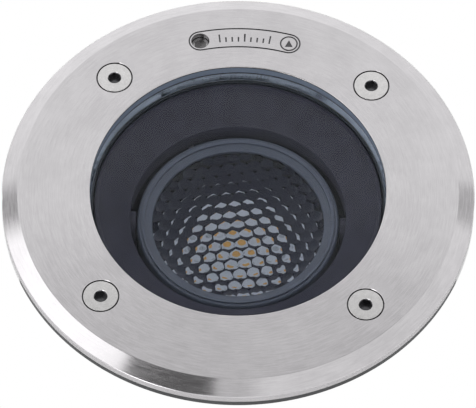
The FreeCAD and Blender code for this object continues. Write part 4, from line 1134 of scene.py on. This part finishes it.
@dataclass
class Trim(Assembly):
    """Steel ring with its bevel, countersinks, tilt marks and screws."""

    border: float = 30.9 * MM
    plate: float = 3.5 * MM
    bevel: float = 5.7 * MM
    drop: float = 3.0 * MM
    lip_wall: float = 3.2 * MM
    screw_circle: float = 64.3 * MM
    head: float = 6.0 * MM
    groove: float = 0.45 * MM
    ditch: float = 0.8 * MM
    ditch_wall: float = 0.75 * MM
    chamfer: float = 0.12 * MM
    head_rim: float = 0.5 * MM
    sunk: float = 0.1 * MM
    shank: float = 3.0 * MM
    tip: float = 0.5 * MM
    screw_length: float = 26.0 * MM
    key: float = 4.0 * MM
    key_depth: float = 2.6 * MM
    key_turn: float = 12.0
    lead_in: float = 0.35 * MM
    lead_in_spread: float = 0.2 * MM
    lead_in_over: float = 0.05 * MM
    spin: float = 28.0
    adjuster: float = 3.25 * MM
    mark_angle: float = 14.2
    mark_half: float = 4.2 * MM
    mark_line: float = 0.55 * MM
    mark_depth: float = 0.35 * MM
    ring_steps: int = 384
    disc_steps: int = 48
    mark_steps: int = 24
    end_steps: int = 16
    disc: float = 3.2 * MM
    pointer: float = 1.44 * MM
    ticks: int = 9
    tick_span: float = 16.0
    tick_long: float = 3.4 * MM
    tick_short: float = 2.0 * MM

    def build(self) -> None:
        """Make the ring and its screws."""
        self.place(self.ring(), "luminaire", Slot.TRIM, "trim_ring")
        self.place(self.screws(), "luminaire", Slot.BRIGHT, "trim_screws")

    def ring(self) -> Piece:
        """Turned ring, cut for the screws, the adjuster and the marks.

        Returns:
            The ring.
        """
        outer, low, top = extent("trim_ring")
        hole, cavity, under = outer - self.border, outer - self.lip_wall, top - self.plate
        outline = rounded([
            (hole, under, 0.15 * MM),
            (cavity, under, 0.3 * MM),
            (cavity, low, 0.2 * MM),
            (outer, low, 0.35 * MM),
            (outer, top - self.drop, 0.55 * MM),
            (outer - self.bevel, top, 0.7 * MM),
            (hole, top, 0.35 * MM),
        ])
        piece = lathe("trim_ring_steel", outline, self.ring_steps)
        cutters = [self.sink(degrees, top) for degrees in (45, 135, 225, 315)]
        hole_place = polar(self.screw_circle, 90 + self.mark_angle)
        cutters.append(rod("bore", self.adjuster, under - MM, top + MM, 64, hole_place))
        cutters += self.marks(top)
        return polish(cut(piece, cutters))

    def sink(self, degrees: float, top: float) -> Piece:
        """Cutter of one countersink.

        Args:
            degrees: angle of the screw.
            top: the ring's face.

        Returns:
            The cutter.
        """
        wide = self.head + self.groove
        shelf = top - self.sunk - self.head_rim
        outline = [
            (0.0, shelf - self.plate),
            (self.head - self.plate, shelf - self.plate),
            (self.head - self.ditch_wall, shelf - self.ditch),
            (wide, shelf - self.ditch),
            (wide, top - self.chamfer),
            (wide + self.chamfer, top),
            (wide + self.chamfer, top + MM),
            (0.0, top + MM),
        ]
        return lathe("sink", outline, SMALL_STEPS, polar(self.screw_circle, degrees))

    def slot_line(self, inset: float) -> List[Point]:
        """Outline of the curved slot round the two marks.

        Args:
            inset: distance inside the slot's outer edge.

        Returns:
            Points in the plane of the ring's face.
        """
        half = self.mark_half - inset
        points: List[Point] = []
        for side, start in ((1, 90 - self.mark_angle), (-1, 90 + self.mark_angle)):
            sweep = 2 * self.mark_angle * side
            for step in range(self.mark_steps + 1):
                points.append(polar(self.screw_circle + side * half, start + sweep * step / self.mark_steps))
            cx, cy = polar(self.screw_circle, start + sweep)
            for step in range(1, self.end_steps):
                dx, dy = polar(half, start + sweep + 180 * step / self.end_steps + (0 if side > 0 else 180))
                points.append((cx + dx, cy + dy))
        return points

    def marks(self, top: float) -> List[Piece]:
        """Cutters of the slot outline, the tick scale and the round mark with its pointer.

        Args:
            top: the ring's face.

        Returns:
            The cutters.
        """
        low, high = top - self.mark_depth, top + MM
        cx, cy = polar(self.screw_circle, 90 - self.mark_angle)
        turns = [360.0 * i / self.disc_steps for i in range(self.disc_steps)]
        discs = [
            [(cx + x, cy + y) for x, y in (polar(radius, turn) for turn in turns)]
            for radius in (self.disc, self.disc - self.mark_line)
        ]
        size, start = self.pointer, -self.tick_long / 2
        arrow = [(cx - size, cy - size), (cx + size, cy - size), (cx, cy + size)]
        cutters = [
            band("slot_line", self.slot_line(0.0), self.slot_line(self.mark_line), low, high),
            band("disc_line", *discs, low, high),
            prism("arrow", arrow, low, high),
        ]
        first, step = 90 - self.tick_span / 2, self.tick_span / (self.ticks - 1)
        steel = self.palette.materials[Slot.TRIM]
        for name, long, every in (("short_ticks", self.tick_short, 1), ("long_ticks", self.tick_long, 4)):
            tick = prism("tick", oblong(start, start + long, self.mark_line / 2), low, high)
            count = (self.ticks - 1) // every + 1
            cutters.append(ring_copies(name, tick, steel, count, self.screw_circle, first, step * every))
        return cutters

    def screws(self) -> Piece:
        """Four countersunk screws with a hexagon socket.

        Returns:
            One mesh of the screws.
        """
        top = top_of("trim_screws")
        rim = top - self.head_rim
        neck = rim - (self.head - self.shank)
        tip = top - self.screw_length
        outline = rounded([
            (0.0, tip, 0.0),
            (self.shank - self.tip, tip, 0.0),
            (self.shank, tip + self.tip, 0.1 * MM),
            (self.shank, neck, 0.2 * MM),
            (self.head, rim, 0.1 * MM),
            (self.head, top, 0.18 * MM),
            (0.0, top, 0.0),
        ], 3)
        screw = lathe("screw", outline, SMALL_STEPS)
        corner = self.key / math.sqrt(3)
        hexagon = [polar(corner, 60 * i + self.key_turn) for i in range(6)]
        socket = prism("socket", hexagon, top - self.key_depth, top + MM)
        lead_in = lathe("lead_in", [
            (0.0, top - self.lead_in),
            (corner - self.lead_in_spread, top - self.lead_in),
            (corner + self.lead_in_spread, top + self.lead_in_over),
            (0.0, top + self.lead_in_over),
        ], 48)
        polish(cut(screw, [socket, lead_in]))
        steel = self.palette.materials[Slot.BRIGHT]
        return ring_copies("trim_screws_steel", screw, steel, 4, self.screw_circle, 45.0, 90.0, self.spin)


@dataclass
class Window(Assembly):
    """Glass disc and its seal."""

    edge: float = 0.45 * MM
    seal: float = 4.2 * MM

    def build(self) -> None:
        """Make the glass and its seal."""
        outer, low, top = extent("front_glass")
        pane = rounded([(0, low, 0), (outer, low, self.edge), (outer, top, self.edge), (0, top, 0)], 3)
        self.place(polish(lathe("front_glass_pane", pane)), "luminaire", Slot.GLASS, "front_glass")
        outer, low, top = extent("glass_gasket")
        inner = outer - self.seal
        seal = rounded([
            (inner, low, 0.2 * MM),
            (outer, low, 0.1 * MM),
            (outer, top, 0.1 * MM),
            (inner, top, 0.35 * MM),
        ])
        self.place(polish(lathe("glass_gasket_seal", seal)), "luminaire", Slot.SILICONE, "glass_gasket")


@dataclass
class Cup(Assembly):
    """Dark conical cup between the lamp head and the glass."""

    rim: float = 48.8 * MM
    throat: float = 38.0 * MM
    wall: float = 1.5 * MM
    lip: float = 6.6 * MM
    notch: float = 5.5 * MM
    pivot: float = -19.2 * MM
    side_holes: Corner = (55 * MM, 5 * MM, 2.2 * MM)
    end_holes: Point = (54 * MM, 1.7 * MM)

    def build(self) -> None:
        """Make the cup."""
        flange, low, top = extent("glare_cup")
        foot = floor_of("glass_frame")
        cone_low = low + self.lip
        slope = (self.rim - self.throat) / (top - cone_low)
        skew = self.wall * math.hypot(1.0, slope)

        def outside(height: float) -> float:
            """Radius of the cone's outer face at a height."""
            return self.throat + (height - cone_low) * slope + skew

        rim_out = self.rim + self.wall
        outline = rounded([
            (self.rim, top, 0.45 * MM),
            (rim_out, top, 0.45 * MM),
            (rim_out, top - (self.rim + skew - rim_out) / slope, 0.2 * MM),
            (outside(foot), foot, 0.0),
            (flange, foot, 0.1 * MM),
            (flange, foot - self.wall, 0.2 * MM),
            (outside(foot - self.wall), foot - self.wall, 0.2 * MM),
            (self.throat + skew, cone_low, 0.2 * MM),
            (self.throat + self.wall, low, 0.15 * MM),
            (self.throat, low, 0.25 * MM),
            (self.throat, cone_low, 0.45 * MM),
        ])
        piece = lathe("glare_cup_cone", outline)
        x, y, radius = self.side_holes
        cutters = [self.hole(side * x, end * y, radius) for side in (-1, 1) for end in (-1, 1)]
        y, radius = self.end_holes
        cutters += [self.hole(0.0, end * y, radius) for end in (-1, 1)]
        cutters.append(prism("notch", oblong(-flange, flange, self.notch), low - MM, self.pivot + self.notch))
        self.place(polish(cut(piece, cutters)), "luminaire", Slot.COATED, "glare_cup")

    def hole(self, x: float, y: float, radius: float) -> Piece:
        """Cutter of a screw hole in the flange.

        Args:
            x: place along X.
            y: place along Y.
            radius: the hole's radius.

        Returns:
            The cutter.
        """
        foot = floor_of("glass_frame")
        return rod("hole", radius, foot - 2 * self.wall, foot + MM, 32, (x, y))


@dataclass
class LampHead(Assembly):
    """Tilting head's bezel and hexagon lens."""

    bezel: float = 5.3 * MM
    slope: float = 1.4 * MM
    lip: float = 1.2 * MM
    skirt_wall: float = 1.5 * MM
    cell: float = 4.62 * MM
    rise: float = 2.00 * MM
    crown: float = 3.8
    flange: float = 1.6 * MM
    twist: float = 10.5
    crease: float = 70.0
    play: float = 0.2 * MM
    crest: float = 0.5 * MM
    shoulder: float = 0.8 * MM

    def build(self) -> None:
        """Make the bezel and the lens."""
        self.place(self.bezel_ring(), "lamp_head", Slot.SATIN, "lens_bezel")
        self.place(self.lens(), "lamp_head", Slot.LENS, "hex_lens")

    def bezel_ring(self) -> Piece:
        """Ring that slopes in to the lens.

        Returns:
            The ring.
        """
        outer, low, top = extent("lens_bezel")
        lens_top, lens_r = top - self.slope - self.lip, extent("hex_lens")[0] + self.play
        inner, can_top = outer - self.bezel, top_of("head_can")
        outline = rounded([
            (inner, top - self.slope, 0.35 * MM),
            (outer - self.crest, top, self.crest),
            (outer, top - self.shoulder, 0.3 * MM),
            (outer, low, 0.2 * MM),
            (outer - self.skirt_wall, low, 0.2 * MM),
            (outer - self.skirt_wall, can_top, 0.1 * MM),
            (lens_r, can_top, 0.1 * MM),
            (lens_r, lens_top, 0.1 * MM),
            (inner, lens_top, 0.2 * MM),
        ])
        return polish(lathe("lens_bezel_ring", outline))

    def lens(self) -> Piece:
        """Lens plate with its field of domed hexagons.

        Returns:
            The lens.
        """
        outer, low, high = extent("hex_lens")
        material = self.palette.materials[Slot.LENS]
        plate = high - low - self.rise
        piece = hexagon_field(
            "hex_lens_plate", material, outer, self.cell, self.rise, plate, self.twist, self.crown
        )
        piece.data.transform(Matrix.Translation((0.0, 0.0, low)))
        tidy(piece)
        field, shelf = extent("lens_bezel")[0] - self.bezel - self.play, low + self.flange
        under, over = low - MM, high + MM
        outline = [(0.0, under), (outer, under), (outer, shelf), (field, shelf), (field, over), (0.0, over)]
        cut(piece, [lathe("lens_edge", outline)], "INTERSECT")
        piece.data.shade_smooth()
        piece.data.set_sharp_from_angle(angle=math.radians(self.crease))
        return piece


@dataclass
class Sleeve(Assembly):
    """Moulded sleeve in the ground, with its ribs and hoops."""

    collar: float = 30.0 * MM
    flange: float = 2.0 * MM
    collar_r: float = 78.5 * MM
    rib_r: float = 78.4 * MM
    wall_r: float = 76.4 * MM
    inner_r: float = 74.6 * MM
    drain_r: float = 59.25 * MM
    foot: float = 3.0 * MM
    ribs: int = 12
    rib_width: float = 2.5 * MM
    rib_gap: float = 2.0 * MM
    hoops: int = 2
    hoop_height: float = 2.5 * MM
    rib_inset: float = 0.3 * MM
    rib_skin: float = 0.02 * MM
    rib_edge: float = 0.45 * MM
    socket_r: float = 13.0 * MM
    socket_rise: float = 18.0 * MM
    socket_reach: float = 100.0 * MM

    def build(self) -> None:
        """Make the sleeve."""
        low = floor_of("mounting_sleeve")
        shell = self.shell(low)
        self.place(shell, "luminaire", Slot.PLASTIC, "mounting_sleeve")
        self.place(self.rib_set(low), "luminaire", Slot.PLASTIC)

    def shell(self, low: float) -> Piece:
        """Turned wall with flange, collar, hoops and foot ring, cut for the conduit sockets.

        Args:
            low: height of the underside.

        Returns:
            The shell.
        """
        outer = extent("mounting_sleeve")[0]
        corners: List[Corner] = [
            (self.drain_r, low, 0.4 * MM),
            (self.wall_r, low, 0.8 * MM),
        ]
        spacing = (-low - self.collar) / (self.hoops + 1)
        for index in range(self.hoops, 0, -1):
            hoop_top = -self.collar - spacing * index
            corners += [
                (self.wall_r, hoop_top - self.hoop_height, 0.4 * MM),
                (self.rib_r, hoop_top - self.hoop_height, 0.4 * MM),
                (self.rib_r, hoop_top, 0.4 * MM),
                (self.wall_r, hoop_top, 0.4 * MM),
            ]
        corners += [
            (self.wall_r, -self.collar, 0.4 * MM),
            (self.collar_r, -self.collar, 0.4 * MM),
            (self.collar_r, 0.0, 0.3 * MM),
            (outer, 0.0, 0.4 * MM),
            (outer, self.flange, 0.3 * MM),
            (self.inner_r, self.flange, 0.3 * MM),
            (self.inner_r, low + self.foot, 0.8 * MM),
            (self.drain_r, low + self.foot, 0.4 * MM),
        ]
        piece = lathe("mounting_sleeve_shell", rounded(corners, 4))
        bore = rod("bore", self.socket_r, -self.socket_reach, self.socket_reach)
        lift = Matrix.Translation((0.0, 0.0, low + self.socket_rise))
        bore.data.transform(lift @ Matrix.Rotation(math.pi / 2, 4, "Y"))
        return polish(cut(piece, [bore]))

    def rib_set(self, low: float) -> Piece:
        """Upright ribs between the collar and the foot.

        Args:
            low: height of the underside.

        Returns:
            One mesh of the ribs.
        """
        half = self.rib_width / 2
        sagitta = self.wall_r * (1 - math.cos(half / self.wall_r))
        depth = self.rib_r - self.wall_r + sagitta + self.rib_inset
        rib = prism("rib", oblong(-depth, 0.0, half), low + self.rib_inset, -self.collar - self.rib_gap)
        soften(rib, self.rib_edge, 3)
        rib.data.transform(Matrix.Translation((-self.rib_skin, 0.0, 0.0)))
        polish(rib)
        plastic = self.palette.materials[Slot.PLASTIC]
        return ring_copies("mounting_sleeve_ribs", rib, plastic, self.ribs, self.rib_r, 180.0 / self.ribs)


@dataclass
class Works(Assembly):
    """Every other node of the frame, which keeps its mesh and gets its slot's finish."""

    record: Dict[str, object]
    nodes: Dict[str, Piece]

    def build(self) -> None:
        """Dress the nodes that are still shown."""
        slots = {part["node"]: Slot(part["material_slot"]) for part in self.record["subparts"]}
        for name, node in self.nodes.items():
            self.palette.dress(node, slots[name])
        LOG.info("frame nodes: %d dressed", len(self.nodes))


# ------------------------------------------------------------------------------ studio


@dataclass(frozen=True)
class Glow:
    """An oval patch of the studio's tent, lighter or darker than the rest."""

    start: Corner
    end: Corner
    width: float
    soft: float
    strength: float

    def share(self, net: Net, towards: Wire) -> Wire:
        """How much of the patch is seen in a direction.

        Args:
            net: the material's tree.
            towards: unit vector from the object.

        Returns:
            The patch's strength there.
        """
        start, end = Vector(self.start).normalized(), Vector(self.end).normalized()
        middle = (start + end).normalized()
        along = (end - start).normalized()
        across = middle.cross(along)
        u = net.dot(towards, tuple(along)) / math.sin(start.angle(end) / 2)
        v = net.dot(towards, tuple(across)) / math.sin(math.radians(self.width / 2))
        ahead = net.math("GREATER_THAN", net.dot(towards, tuple(middle)), 0.0)
        return net.span(length(u, v), 1.0 - self.soft, 1.0 + self.soft, self.strength, 0.0) * ahead


@dataclass
class Studio:
    """Camera, white surroundings, light tent, floor and the white ground card before the camera."""

    azimuth: float = 2.15
    elevation: float = 57.1
    distance: float = 1.543
    lens: float = 335.0
    sink: float = 5.26 * MM
    sensor: float = 36.0
    level: float = 1.0
    darkest: float = 0.12
    ripple: float = 0.04
    ripple_size: float = 0.5
    floor_r: float = 2.2
    floor_drop: float = 0.05 * MM
    floor_greys: Tuple[float, float] = (0.80, 0.84)
    speck: float = 4 * MM
    fade: Tuple[float, float] = (0.16, 0.6)
    tent_r: float = 1.1
    tent_wall: float = 5 * MM
    card_share: float = 0.15
    card_reach: float = 0.16
    card_back: float = 3.0 * MM
    card_play: float = 0.1 * MM

    GLOWS = (
        Glow((-0.83, 0.33, 0.46), (-0.44, -0.36, 0.82), 30.0, 0.20, 0.80),
        Glow((-0.46, -0.39, 0.79), (-0.085, -0.483, 0.87), 56.0, 0.04, -1.60),
        Glow((-0.12, -0.48, 0.87), (0.12, -0.47, 0.87), 26.0, 0.50, -0.30),
        Glow((0.72, 0.57, 0.40), (0.78, 0.40, 0.48), 18.0, 0.20, -0.42),
        Glow((-0.76, 0.50, 0.41), (-0.81, 0.31, 0.50), 14.0, 0.60, -0.70),
        Glow((0.0, 0.50, 0.87), (0.0, -0.20, 0.98), 60.0, 0.25, -0.42),
        Glow((0.25, -0.45, 0.86), (0.80, 0.15, 0.58), 40.0, 0.40, -0.08),
        Glow((-0.75, 0.65, 0.10), (0.30, 0.95, 0.10), 40.0, 0.50, 0.18),
        Glow((-0.66, -0.64, 0.40), (-0.34, -0.85, 0.40), 24.0, 0.30, 3.00),
    )

    def build(self) -> None:
        """Make the studio."""
        camera = self.camera()
        self.surroundings()
        self.tent()
        self.floor()
        self.card(camera.location)

    def camera(self) -> Piece:
        """Camera at the photograph's angle.

        Returns:
            The camera.
        """
        turn, lift = math.radians(self.azimuth), math.radians(self.elevation)
        back = Vector((math.sin(turn) * math.cos(lift), -math.cos(turn) * math.cos(lift), math.sin(lift)))
        right = Vector((math.cos(turn), math.sin(turn), 0.0))
        up = back.cross(right)
        aim = Vector((0.0, 0.0, top_of("trim_ring"))) - up * self.sink
        data = bpy.data.cameras.new("camera")
        data.lens = self.lens
        data.sensor_width = self.sensor
        data.clip_start, data.clip_end = 0.01, 50.0
        camera = bpy.data.objects.new("camera", data)
        bpy.context.scene.collection.objects.link(camera)
        axes = Matrix((right, up, back)).transposed().to_4x4()
        camera.matrix_world = Matrix.Translation(aim + back * self.distance) @ axes
        bpy.context.scene.camera = camera
        return camera

    def surroundings(self) -> None:
        """Even white world."""
        world = bpy.data.worlds.new("studio")
        bpy.context.scene.world = world
        net = emptied(world)
        background = net.put("ShaderNodeBackground", {"Color": WHITE, "Strength": self.level})
        net.add("ShaderNodeOutputWorld", {"Surface": background})

    def tent(self) -> None:
        """Light tent over the object with soft boxes and dark cards on it, not seen by the camera itself."""
        steps, turns = 24, 64
        outline = [polar(self.tent_r, 90.0 * i / steps) for i in range(steps + 1)]
        outline[-1] = (0.0, self.tent_r)
        wall = self.tent_wall
        shell = [(r + wall * r / self.tent_r, z + wall * z / self.tent_r) for r, z in reversed(outline)]
        tent = lathe("light_tent", outline + shell, turns)
        tent.data.transform(Matrix.Translation((0.0, 0.0, floor_of("mounting_sleeve"))))
        tent.data.materials.append(new_material("tent_cloth", self.cloth))
        tent.visible_camera = False
        tent.visible_shadow = False

    def cloth(self, net: Net) -> Wire:
        """Glowing cloth with the patches on it.

        Args:
            net: the material's tree.

        Returns:
            The shader's output.
        """
        towards = net.put("ShaderNodeVectorMath", {0: net.place()}, operation="NORMALIZE")
        light = net.noise(towards, self.ripple_size) * self.ripple + (self.level - self.ripple / 2)
        for glow in self.GLOWS:
            light = light + glow.share(net, towards)
        light = net.math("MAXIMUM", light, self.darkest)
        return net.put("ShaderNodeEmission", {"Color": net.join(light, light, light), "Strength": 1.0})

    def floor(self) -> None:
        """Pale floor under the sleeve."""
        low = floor_of("mounting_sleeve") - self.floor_drop
        rim = [polar(self.floor_r, 360.0 * i / SMALL_STEPS) for i in range(SMALL_STEPS)]
        floor = mesh_object("floor", [(x, y, low) for x, y in rim], [list(range(SMALL_STEPS))])
        floor.data.materials.append(new_material("pale_floor", self.ground))

    def ground(self, net: Net) -> Wire:
        """Matt pale surface that fades into the background.

        Args:
            net: the material's tree.

        Returns:
            The shader's output.
        """
        place = net.place()
        x, y, _ = net.axes(place)
        speck = net.noise(place, self.speck, detail=3.0, rough=0.6)
        colour = net.blend(speck, *((grey, grey, grey) for grey in self.floor_greys))
        matt = net.put("ShaderNodeBsdfDiffuse", {"Color": colour, "Roughness": 0.5})
        share = net.span(length(x, y), *self.fade) * net.put("ShaderNodeLightPath", None, "Is Camera Ray")
        return net.put("ShaderNodeMixShader", {0: share, 1: matt, 2: self.white(net)})

    def white(self, net: Net) -> Wire:
        """Even white glow."""
        return net.put("ShaderNodeEmission", {"Color": WHITE, "Strength": 1.0})

    def card(self, eye: Vector) -> None:
        """White card close to the camera that stands for the ground round the trim.

        Args:
            eye: the camera's place.
        """
        steps = 360
        edge, _, top = extent("trim_ring")
        inner: List[Vector] = []
        for index in range(steps):
            degrees = 360.0 * index / steps
            front = degrees > 180.0
            radius, height = (edge, 0.0) if front else (edge + self.card_play, top - self.card_back)
            inner.append(Vector((*polar(radius, degrees), height)))
        outer = [Vector((*polar(self.card_reach, 360.0 * i / steps), 0.0)) for i in range(steps)]
        points = [eye + (point - eye) * self.card_share for point in inner + outer]
        faces = [[i, (i + 1) % steps, steps + (i + 1) % steps, steps + i] for i in range(steps)]
        card = mesh_object("ground_card", points, faces)
        card.data.materials.append(new_material("white_card", self.white))
        for kind in ("diffuse", "glossy", "transmission", "shadow", "volume_scatter"):
            setattr(card, f"visible_{kind}", False)


# ------------------------------------------------------------------------------ all together


def main() -> None:
    """Build the light over its frame, and the studio round it."""
    logging.basicConfig(level=logging.INFO, format="%(message)s")
    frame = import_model()
    scene = bpy.context.scene
    scene.view_settings.view_transform = "Standard"
    palette = Palette()
    Works(palette, frame["record"], frame["nodes"]).build()
    for assembly in (Trim, Window, Cup, LampHead, Sleeve):
        assembly(palette).build()
    Studio().build()


if __name__ == "__main__":
    main()
